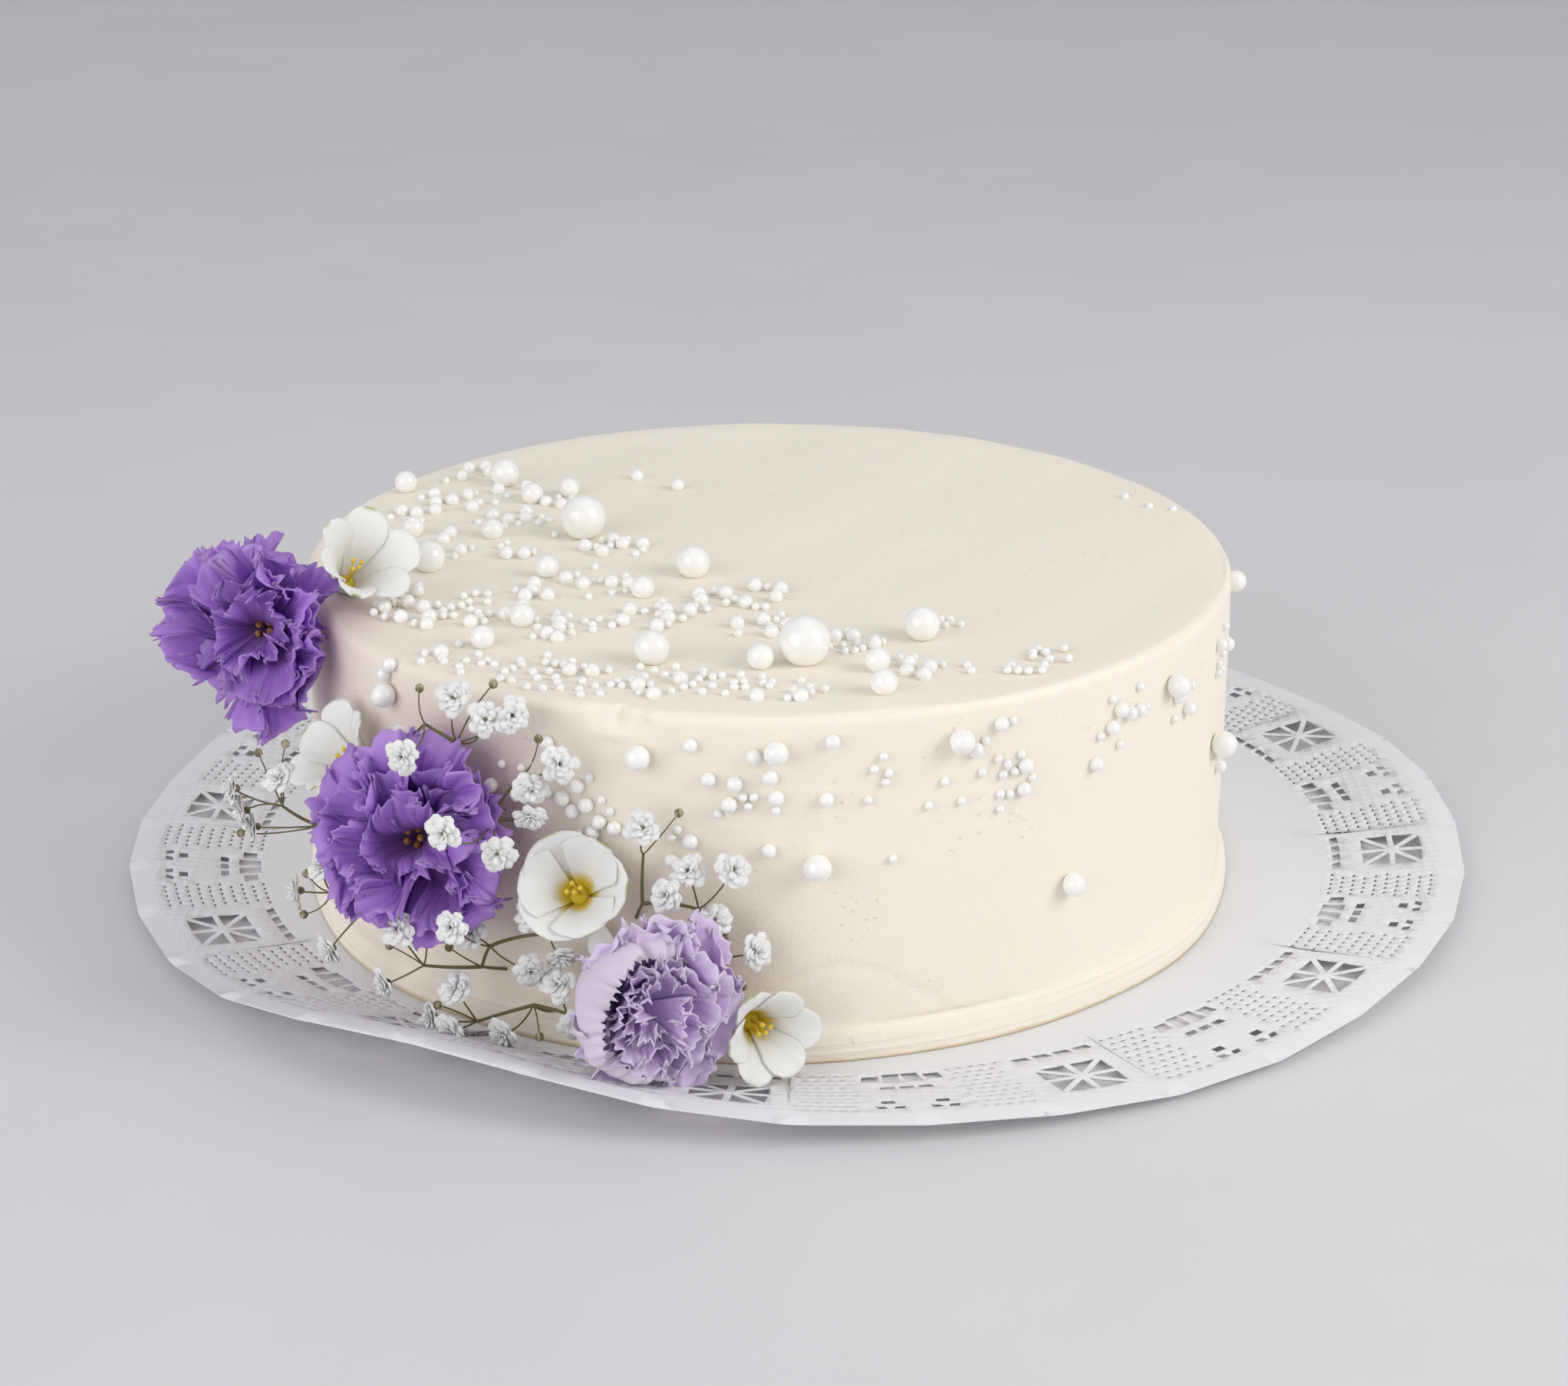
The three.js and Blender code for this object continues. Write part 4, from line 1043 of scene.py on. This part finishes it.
# %% The freesia pieces
TUBE_PATH = np.array([[0, 0, height] for height in (-5.2, -5.0, -3.5, -2.0, -0.5, 1.0, 2.2, 2.6, 2.8)])
TUBE_RADII = np.array([0.02, 1.0, 1.4, 1.8, 2.1, 2.4, 2.4, 1.6, 0.02])
TUBE_TONE = np.where(TUBE_PATH[:, 2] > 2, 0.12, 0.6)
TUBE_SIDES = 14
STAMEN_STEPS, STAMEN_SIDES = 5, 6
ANTHERS = 4
for number, flower in enumerate(FREESIAS):
    foot_place = on_side(flower["azimuth"], flower["height"], flower["out"])
    turn, origin = facing(foot_place, flower["faces"])
    points, quads, uv, tone = blossom(freesia_petals(flower, 60 + number), foot_place,
                                      flower["faces"], 16, 18)
    uv[:, 1] = uv[:, 1] + (1 - uv[:, 1]) * flower.get("pale", 0)
    piece = new_piece(flower["name"] + "_petals", points, [quads], "petal_white", freesia_material,
                      [flower["name"]], uv, tone)
    thicken(piece, 0.35 * MM)
    tube = sweep(TUBE_PATH, TUBE_RADII, TUBE_SIDES) * MM
    tube_uv = np.stack(np.broadcast_arrays(np.linspace(0, 1, TUBE_SIDES)[None, :], TUBE_TONE[:, None]),
                       axis=-1)
    new_piece(flower["name"] + "_tube", tube.reshape(-1, 3) @ turn + origin,
              [grid_faces(len(TUBE_PATH), TUBE_SIDES, wrap=True)], "petal_white", freesia_material,
              [flower["name"]], tube_uv.reshape(-1, 2), np.zeros(tube_uv.size // 2))
    stamens, anthers = [], []
    for i in range(ANTHERS):
        lean = np.radians(90 * i + 20)
        aside = 0.6 if i == 3 else 1.7
        tip = np.array([aside * math.cos(lean), aside * math.sin(lean), flower["depth"] * 0.62])
        path = bent_path(np.array([0, 0, 2.0]), tip, (0.3, 0.2, 0), STAMEN_STEPS)
        stamen = sweep(path, np.full(STAMEN_STEPS, 0.28), STAMEN_SIDES)
        stamens.append(stamen.reshape(-1, 3) * MM @ turn + origin)
        anthers.append(tip * MM @ turn + origin)
    stamen_quads = copies(STAMEN_STEPS * STAMEN_SIDES, grid_faces(STAMEN_STEPS, STAMEN_SIDES, wrap=True),
                          ANTHERS)
    new_piece(flower["name"] + "_stamens", np.vstack(stamens), [stamen_quads], "petal_white",
              anther_material, [flower["name"]])
    new_piece(flower["name"] + "_anthers", *balls(anthers, [1.3 * MM] * ANTHERS, 6, 8), "petal_white",
              anther_material, [flower["name"]])

# %% [markdown]
# ## Baby's breath
#
# Each spray is a thin olive stem that forks, with a double white floret or a round bud at every tip. The
# places are those of the solid model, apart from four more florets that hang out in front of the heads.
# Each place is an azimuth in degrees, a height and a stand-off in millimetres. The number before it tells
# which fork it grows from.

# %% The sprays
SPRAYS = [
    dict(foot=(-118.5, 58, -2),
         forks=[(-119.9, 62, 10), (-124.8, 79, 8), (-128.5, 82.5, 10), (-116.3, 74.5, 9)],
         parents=[-1, 0, 1, 0],
         florets=[(1, -123.1, 93, 14), (1, -119.3, 89.5, 14), (1, -117, 90.5, 11), (2, -130.5, 78, 12),
                  (3, -112, 79.5, 10), (3, -114.7, 73, 12), (3, -114.9, 66, 12), (0, -115.9, 60.5, 24),
                  (2, -125.0, 82.0, 28), (0, -117.6, 70.8, 40)],
         buds=[(2, -129, 91.5, 10), (1, -119.5, 97, 9), (3, -114.3, 85, 9)]),
    dict(foot=(-105.4, 36, -2),
         forks=[(-103.4, 44.5, 7), (-103.1, 58, 8), (-97.3, 44.6, 8), (-95.8, 32, 8)],
         parents=[-1, 0, 0, 2],
         florets=[(1, -102.9, 65.5, 10), (2, -98.3, 54.5, 9), (2, -100.2, 50, 13), (2, -93.7, 56, 10),
                  (3, -95.6, 42, 9), (3, -97.4, 38, 9), (3, -91.5, 34, 9)],
         buds=[(1, -99.2, 70, 9), (3, -92.7, 24.5, 8), (2, -94.4, 38.6, 10)]),
    dict(foot=(-121.5, 16, -2),
         forks=[(-122.5, 20, 8), (-128, 19.5, 15), (-120.4, 28, 11), (-113.6, 34, 9)],
         parents=[-1, 0, 0, 2],
         florets=[(1, -131.6, 13.5, 20), (1, -128.7, 28, 12), (2, -121.3, 33, 16), (3, -115.1, 39.6, 12),
                  (3, -112.6, 28, 8), (2, -115.3, 25, 13),
                  (1, -125.8, 36.5, 30), (2, -120.1, 40.0, 28)],
         buds=[(1, -132.5, 22, 16), (3, -111.5, 39, 8), (0, -125.5, 25, 12)]),
    dict(foot=(-114.5, 9, -2),
         forks=[(-116, 13, 8), (-121.5, 8, 14), (-111.8, 13, 9)],
         parents=[-1, 0, 0],
         florets=[(1, -122.6, 18, 19), (1, -122.4, 8, 22), (1, -126.4, 7, 17), (2, -112.4, 21, 11),
                  (2, -110.6, 12, 11), (0, -117.8, 7.5, 16)],
         buds=[(1, -124.5, 13, 20), (0, -114, 8, 14)]),
    dict(foot=(-137, 23, -2),
         forks=[(-138.5, 27, 10), (-141.5, 29.5, 17)],
         parents=[-1, 0],
         florets=[(1, -146.7, 26, 20), (0, -140.5, 15.5, 20), (1, -142.6, 36, 18)],
         buds=[(1, -145.6, 20.5, 20), (1, -144.5, 33, 20)]),
    dict(foot=(-143.5, 41, -2),
         forks=[(-145.4, 44, 14), (-147.5, 49.5, 22)],
         parents=[-1, 0],
         florets=[(1, -151.4, 52.5, 31), (1, -147.4, 57, 23), (1, -151, 46.4, 29), (0, -150.4, 42, 27)],
         buds=[(1, -150.1, 62.5, 25), (1, -148.6, 65, 19), (0, -152.2, 39, 29)]),
]
print("sprays:", len(SPRAYS))

# %% [markdown]
# A floret is a tuft of small petals in four nested rings, smaller and steeper inwards. The petal formula
# makes it on a grid of 4 by 5 points, which is light enough to repeat dozens of times.

# %% Stems and florets
STEM_STEPS, STEM_SIDES = 7, 6
FLORET_RADIUS, FLORET_HEIGHT = 4.9, 2.8
# The number, size and lift of the petals in each ring
FLORET_RINGS = ((7, 1.0, 0.15), (6, 0.8, 0.42), (5, 0.58, 0.7), (4, 0.34, 1.0))


def stem_tube(start, end, thick, seed):
    """A tube that sags and strays a little from the straight line, and thins by a quarter."""
    draw = np.random.default_rng(seed)
    length = np.linalg.norm(end - start)
    bend = draw.normal(0, 0.05, 3) * length + np.array([0, 0, -0.04 * length])
    path = bent_path(start, end, bend, STEM_STEPS)
    radii = np.linspace(thick, thick * 0.75, STEM_STEPS) * MM
    return sweep(path, radii, STEM_SIDES).reshape(-1, 3)


def floret_petals(seed):
    """The petals of one floret, ring by ring, each turned and sized a little at random."""
    draw = np.random.default_rng(seed)
    petals = []
    for number, size, lift in FLORET_RINGS:
        for i in range(number):
            petals.append(dict(
                PLAIN_PETAL, turn=2 * np.pi * (i + draw.uniform(-0.25, 0.25)) / number + size,
                spread=0.6, radius=FLORET_RADIUS * size * draw.uniform(0.85, 1.1),
                depth=FLORET_HEIGHT * lift * draw.uniform(0.8, 1.2), foot=0.3, throat=0.4, rounding=0.3,
                ruffle=0.3, waves=1.2, phase=draw.uniform(0, 6.2), twist=draw.uniform(-0.2, 0.2),
                tone=draw.uniform(0, 1)))
    return petals


# %% Every spray grown from its places
stems, buds, florets, calyxes = [], [], [], []
seed = 0
for spray in SPRAYS:
    foot = on_side(*spray["foot"])
    forks = [on_side(*fork) for fork in spray["forks"]]
    starts = [foot if parent < 0 else forks[parent] for parent in spray["parents"]]
    for start, fork in zip(starts, forks):
        seed += 1
        stems.append(stem_tube(start, fork, 0.5, seed))
    for source, *tip in spray["florets"]:
        seed += 1
        place = on_side(*tip)
        away = (place - forks[source]) / np.linalg.norm(place - forks[source])
        outward = np.array([place[0], place[1], 0]) / np.linalg.norm(place[:2])
        faces_to = away + 0.9 * outward + np.array([0.15, -0.25, 0.1])
        stems.append(stem_tube(forks[source], place, 0.27, seed))
        florets.append(blossom(floret_petals(seed), place - outward * 0.6 * MM, faces_to, 4, 5))
        calyxes.append(place - 0.9 * MM * outward)
    for source, *tip in spray["buds"]:
        seed += 1
        place = on_side(*tip)
        stems.append(stem_tube(forks[source], place, 0.23, seed))
        buds.append(place)
print("florets:", len(florets), "buds:", len(buds))

# %% [markdown]
# The stems are olive with browner patches, and the buds and the calyxes under the florets grey-green. The
# florets are as white as paint can be, with a little green in the heart.

# %% Baby's breath materials
stem = Finish("olive stem")
stem_patch = stem.noise(stem.place(), 180.0, 3.0)
stem_colour = stem.mix(stem_patch.between(0.35, 0.65), colour(92, 98, 56), colour(112, 100, 70))
stem_material = stem.done(stem.principled(Base_Color=stem_colour, Roughness=0.6))

budding = Finish("grey-green bud")
bud_patch = budding.noise(budding.stretched(budding.place(), (1.0, 1.0, 0.3)), 1100.0, 2.0)
bud_colour = budding.mix(bud_patch.between(0.4, 0.6), colour(108, 102, 70), colour(168, 162, 132))
bud_material = budding.done(budding.principled(Base_Color=bud_colour, Roughness=0.65))

tuft = Finish("white floret")
tuft_along = tuft.part(tuft.surface(), 1)
tuft_shade = tuft.noise(tuft.place(), 500.0, 2.0)
tuft_white = tuft.mix(tuft_shade, colour(252, 252, 250), colour(255, 255, 254))
tuft_colour = tuft.mix(0.3 * (1 - tuft_along.between(0.0, 0.25)), tuft_white, colour(206, 210, 160))
tuft_face = tuft.principled(Base_Color=tuft_colour, Roughness=0.6)
tuft_material = tuft.sheet(0.14, tuft_face, tuft_colour)

# %% The baby's breath pieces
spray_nodes = [f"babys_breath_{i + 1}" for i in range(len(SPRAYS))]
stem_faces = copies(STEM_STEPS * STEM_SIDES, grid_faces(STEM_STEPS, STEM_SIDES, wrap=True), len(stems))
new_piece("babys_breath_stems", np.vstack(stems), [stem_faces], "sprig", stem_material, spray_nodes)
new_piece("babys_breath_buds", *balls(buds, [2.3 * MM] * len(buds), 8, 10), "sprig", bud_material,
          spray_nodes)
new_piece("babys_breath_calyxes", *balls(calyxes, [2.0 * MM] * len(calyxes), 7, 9), "sprig", bud_material,
          spray_nodes)
floret_points, floret_quads, floret_uvs, floret_tones = zip(*florets)
floret_faces = copies(len(floret_points[0]), floret_quads[0], len(florets))
floret_piece = new_piece("babys_breath_florets", np.vstack(floret_points), [floret_faces], "sprig",
                         tuft_material, spray_nodes, np.vstack(floret_uvs),
                         np.concatenate(floret_tones))
thicken(floret_piece, 0.2 * MM)

# %% [markdown]
# Beside the lowest lisianthus sits one closed freesia bud: a spindle whose three ridges turn slowly round
# it, where its petals overlap.

# %% The freesia bud
BUD = dict(azimuth=-108.6, height=31, out=4, length=11, radius=3.6)
BUD_STEPS, BUD_SIDES = 14, 16
bud_rows = np.linspace(0, 1, BUD_STEPS)
bud_radii = BUD["radius"] * np.sin(np.pi * np.clip(bud_rows, 0.02, 0.98)) ** 0.8 * (1 - 0.15 * bud_rows)
bud_path = np.stack([0 * bud_rows, 0 * bud_rows, (bud_rows - 0.5) * BUD["length"]], axis=-1)
bud_shape = sweep(bud_path, bud_radii, BUD_SIDES)
bud_angle = np.linspace(0, 2 * np.pi, BUD_SIDES, endpoint=False)[None, :]
bud_twist = 1 + 0.07 * np.sin(3 * bud_angle + 2.5 * bud_rows[:, None])
bud_shape[..., :2] *= bud_twist[..., None]
bud_uv = np.stack([bud_angle / (2 * np.pi) + 0 * bud_rows[:, None],
                   0.6 + 0.35 * bud_rows[:, None] + 0 * bud_angle], axis=-1)
bud_place = on_side(BUD["azimuth"], BUD["height"], BUD["out"])
new_piece("freesia_bud_petals", bud_shape.reshape(-1, 3) * MM + bud_place,
          [grid_faces(BUD_STEPS, BUD_SIDES, wrap=True)], "petal_white", freesia_material,
          ["freesia_bud"], bud_uv, np.zeros(BUD_STEPS * BUD_SIDES))

# %% [markdown]
# ## The doily
#
# The doily is one sheet of white paper, punched and embossed in a press. The pattern repeats every 30
# degrees: a pierced star over a row of slits, a group of wider slits between two stars, and a field of
# small slits on each side of it. Holes could be cut with a Boolean modifier, which is slow with so many.
# Here one sector is triangulated flat with its holes, then turned to all its places, and last the rim is
# lifted in soft waves, as paper does that was folded in its packet.

# %% The measures of the doily and its rim
DOILY_X, DOILY_Y, DOILY_RADIUS = 8.0, 17.0, 188.0
DOILY_PLAIN = 146.0
DOILY_TURN = math.radians(-6)
SECTORS = 12
SECTOR = 2 * math.pi / SECTORS
SECTOR_START = math.radians(4.95) - SECTOR
LOBES = 36
LOBE_DEPTH = 3.5


def lobe_radius(angle):
    """The rim: one shallow lobe every 10 degrees, with fine teeth where two lobes meet."""
    lobe = np.abs(np.sin(LOBES / 2 * angle))
    teeth = 0.4 * np.sin(LOBES * 8 * angle) * (1 - lobe) ** 2
    return DOILY_RADIUS - LOBE_DEPTH * (1 - lobe) + teeth


print("teeth and lobes reach in by", round(DOILY_RADIUS - lobe_radius(0.0), 2), "mm")

# %% Shapes of holes


def hole(radius, degrees, corners):
    """A hole's corners from (radial, sideways) millimetres round a place at radius and degrees."""
    return [(radius + t, math.radians(degrees) + s / (radius + t)) for t, s in corners]


def slit(radius, degrees, sideways, half_long, half_tall, slant=0.0):
    """A four-sided hole, half_long to each side and half_tall up and down, whose ends lean by slant."""
    corners = [(-half_tall, -half_long - slant), (-half_tall, half_long - slant),
               (half_tall, half_long + slant), (half_tall, -half_long + slant)]
    return hole(radius, degrees, [(t, s + sideways) for t, s in corners])


def star(radius, degrees, half_wide, half_tall, bar):
    """Eight triangles between eight bars that cross in the middle of a rounded oblong.

    A corner on the rim lies along a bar, moved aside by the bar's half width. The inner corner lies where
    two bars meet: half their width over the sine of half the angle between them.
    """
    holes = []
    for i in range(8):
        first, last = np.array([math.tau * i / 8, math.tau * (i + 1) / 8])
        middle = (first + last) / 2
        apex = bar / math.sin(math.pi / 8) * np.array([math.cos(middle), math.sin(middle)])
        corners = [apex]
        for turn, side in ((first, 1), (middle, 0), (last, -1)):
            along = np.array([math.cos(turn), math.sin(turn)])
            squarer = (np.abs(along).max()) ** -0.7
            corners.append(squarer * along + side * bar * np.array([-along[1], along[0]]))
        holes.append(hole(radius, degrees, [(half_tall * c[0], half_wide * c[1]) for c in corners]))
    return holes


# %% The holes of one sector
lace = star(168.5, 0.0, 9.6, 8.4, 0.09)
lace += [slit(153.0, 0.0, s, 2.2, 1.1, 0.5) for s in (-8.6, -2.9, 2.9, 8.6)]
lace += [slit(155.0, -15.0, s, 2.1, tall, 0.4 * np.sign(s)) for s, tall in
         ((-7.8, 1.9), (-2.6, 3.0), (2.6, 3.0), (7.8, 1.9))]
lace += [slit(162.0, -15.0, s, 1.8, 1.1, 0.3 * np.sign(s)) for s in (-4.8, 0.0, 4.8)]
for middle in (-6.8, 6.6):
    lace += [slit(177.2, -15.0, middle - 2.2, 1.3, 1.0, 0.4),
             slit(177.2, -15.0, middle + 2.2, 1.3, 1.0, -0.4),
             slit(173.4, -15.0, middle, 1.7, 1.2)]
for first, last in ((-24.4, -19.6), (-10.4, -5.5)):
    for row, radius in enumerate(np.arange(152.0, 181.0, 3.0)):
        step = math.degrees(3.1 / radius)
        lace += [slit(radius, degrees, 0.0, 0.75, 0.32, 0.2)
                 for degrees in np.arange(first + (row % 2) * step / 2, last, step)]
print("holes in a sector:", len(lace))

# %% [markdown]
# A constrained triangulation keeps the border and the holes as edges. The border has the same points on
# both straight sides, so that neighbouring sectors join. A few points spread between the holes keep the
# triangles small enough to bend.

# %% The border of the sector and the points inside it
RIM_STEPS, SIDE_STEPS, INNER_STEPS = 61, 11, 13
HOLE_MARGIN, HOLE_MARGIN_TURN = 0.6, 0.004
SECTOR_END = SECTOR_START + SECTOR
side_length = lobe_radius(SECTOR_START) - DOILY_PLAIN
outwards = np.linspace(0, 1, SIDE_STEPS)
border = [(DOILY_PLAIN + share * side_length, SECTOR_START) for share in outwards[:-1]]
border += [(lobe_radius(turn), turn) for turn in SECTOR_START + np.linspace(0, SECTOR, RIM_STEPS)]
border += [(DOILY_PLAIN + share * side_length, SECTOR_END) for share in np.linspace(1, 0, SIDE_STEPS)[1:]]
border += [(DOILY_PLAIN, SECTOR_START + SECTOR * (1 - share))
           for share in np.linspace(0, 1, INNER_STEPS)[1:-1]]

spread_points = [(r, SECTOR_START + SECTOR * share)
                 for r in np.arange(DOILY_PLAIN + 4, DOILY_RADIUS - 5, 4.0)
                 for share in np.linspace(0, 1, 23)[1:-1]]
hole_boxes = [(min(c[0] for c in gap) - HOLE_MARGIN, max(c[0] for c in gap) + HOLE_MARGIN,
               min(c[1] for c in gap) - HOLE_MARGIN_TURN, max(c[1] for c in gap) + HOLE_MARGIN_TURN)
              for gap in lace]
spread_points = [(r, a) for r, a in spread_points
                 if not any(b[0] < r < b[1] and b[2] < a < b[3] for b in hole_boxes)]

print("points on the border:", len(border), "and inside it:", len(spread_points))

# %% Triangulate the sector
# Every point has an owner: -1 for the border, the number of its hole, or its own number below -1. A
# triangle whose three corners belong to one hole lies inside that hole, and is left out.
NO_OWNER = -99999
polar = border + [corner for gap in lace for corner in gap] + spread_points
loops = [list(range(len(border)))]
owner = [-1] * len(border)
for number, gap in enumerate(lace):
    first = len(owner)
    loops.append(list(range(first, first + len(gap))))
    owner += [number] * len(gap)
owner += [-2 - i for i in range(len(spread_points))]
edges = [(loop[i], loop[(i + 1) % len(loop)]) for loop in loops for i in range(len(loop))]
flat = [Vector((r * math.cos(a), r * math.sin(a))) for r, a in polar]
out_points, _, out_faces, origin_of, _, _ = delaunay_2d_cdt(flat, edges, [], 1, 1e-6, True)
out_owner = np.array([owner[ids[0]] if ids else NO_OWNER for ids in origin_of])
triangles = np.array([face for face in out_faces if len(face) == 3])
same = (out_owner[triangles[:, 0]] == out_owner[triangles[:, 1]]) \
    & (out_owner[triangles[:, 1]] == out_owner[triangles[:, 2]]) & (out_owner[triangles[:, 0]] >= 0)
triangles = triangles[~same]
sector_points = np.array([[p.x, p.y] for p in out_points])
middle_radius = np.linalg.norm(sector_points[triangles].mean(axis=1), axis=1)
triangles = triangles[middle_radius > DOILY_PLAIN * math.cos(SECTOR / 24) - 0.01]
print("triangles in a sector:", len(triangles))

# %% All sectors, the plain middle and the waves of the rim


def doily_lift(x, y):
    """Height of the sheet, in millimetres: flat in the middle, waves and one lifted corner at the rim."""
    dx, dy = x - DOILY_X, y - DOILY_Y
    share = np.clip((np.hypot(dx, dy) - DOILY_PLAIN) / (DOILY_RADIUS - DOILY_PLAIN), 0, 1)
    share = share * share * (3 - 2 * share)
    angle = np.arctan2(dy, dx)
    corner = (np.degrees(angle) + 117) / 22
    waves = 3.6 + 1.2 * np.sin(3 * angle + 1) + 0.9 * np.sin(8 * angle)
    return share * (waves + 10 * np.exp(-corner * corner))


turn_angles = np.arange(SECTORS) * SECTOR + DOILY_TURN
turned = [sector_points @ np.array([[math.cos(t), math.sin(t)], [-math.sin(t), math.cos(t)]])
          for t in turn_angles]
lace_points = np.vstack(turned)
lace_faces = copies(len(sector_points), triangles, SECTORS)
ring_angles = SECTOR_START + DOILY_TURN + np.linspace(0, 2 * np.pi, (INNER_STEPS - 1) * SECTORS,
                                                      endpoint=False)
ring_radii = np.array([DOILY_PLAIN, 138, 126, 110])[:, None]
ring_points = np.stack([ring_radii * np.cos(ring_angles), ring_radii * np.sin(ring_angles)],
                       axis=-1).reshape(-1, 2)
ring_faces = grid_faces(len(ring_radii), len(ring_angles), wrap=True) + len(lace_points)
flat_points = np.vstack([lace_points, ring_points]) + [DOILY_X, DOILY_Y]
PAPER_THICKNESS = 0.3
PAPER_TOP = 0.55
lift = doily_lift(flat_points[:, 0], flat_points[:, 1]) + PAPER_TOP - PAPER_THICKNESS / 2
doily_points = np.column_stack([flat_points, lift]) * MM
print("the highest corner of the doily:", round(float(lift.max()), 1), "mm")

# %% [markdown]
# The paper is a cool white with fine fibres and faint clouds. Rows of embossed dots fill the lace border,
# and a Voronoi texture gives them, because modelled dots would be many and flat. Some light comes through.

# %% Doily paper
paper = Finish("doily paper")
paper_place = paper.place()
fibre = paper.noise(paper_place, 700.0, 4.0, 0.7)
cloudy = paper.noise(paper_place, 40.0, 3.0)
paper_colour = paper.mix(cloudy, colour(246, 246, 248), colour(251, 251, 253))
centred = paper.node("ShaderNodeMapping", {}, {"Vector": paper_place,
                                               "Location": (-DOILY_X * MM, -DOILY_Y * MM, 0.0)})
dots = paper.node("ShaderNodeTexVoronoi", {"feature": "F1"}, {"Vector": centred, "Scale": 330.0,
                                                              "Randomness": 0.1})
from_middle = paper.node("ShaderNodeVectorMath", {"operation": "LENGTH"}, {0: centred}, 1)
embossed = from_middle.between(0.149, 0.152) * (1 - from_middle.between(0.180, 0.183))
paper_relief = paper.bump(0.25 * fibre + 0.9 * embossed * dots.between(0.25, 0.6), 0.00025, 0.8)
paper_face = paper.principled(Base_Color=paper_colour, Roughness=0.75, Normal=paper_relief,
                              Specular_IOR_Level=0.3)
paper_material = paper.sheet(0.2, paper_face, paper_colour)

# %% The doily piece
doily_piece = new_piece("lace_doily", doily_points, [lace_faces, ring_faces], "doily_paper",
                        paper_material, ["doily"])
weld = doily_piece.modifiers.new("Joins", "WELD")
weld.merge_threshold = 0.00003
thicken(doily_piece, PAPER_THICKNESS * MM)

# %% [markdown]
# ## The size of the solid model, and a last update
#
# The dressed cake has to keep the size of the solid model. Last, the scene is updated once more.

# %% The last update of the scene
bpy.context.view_layer.update()
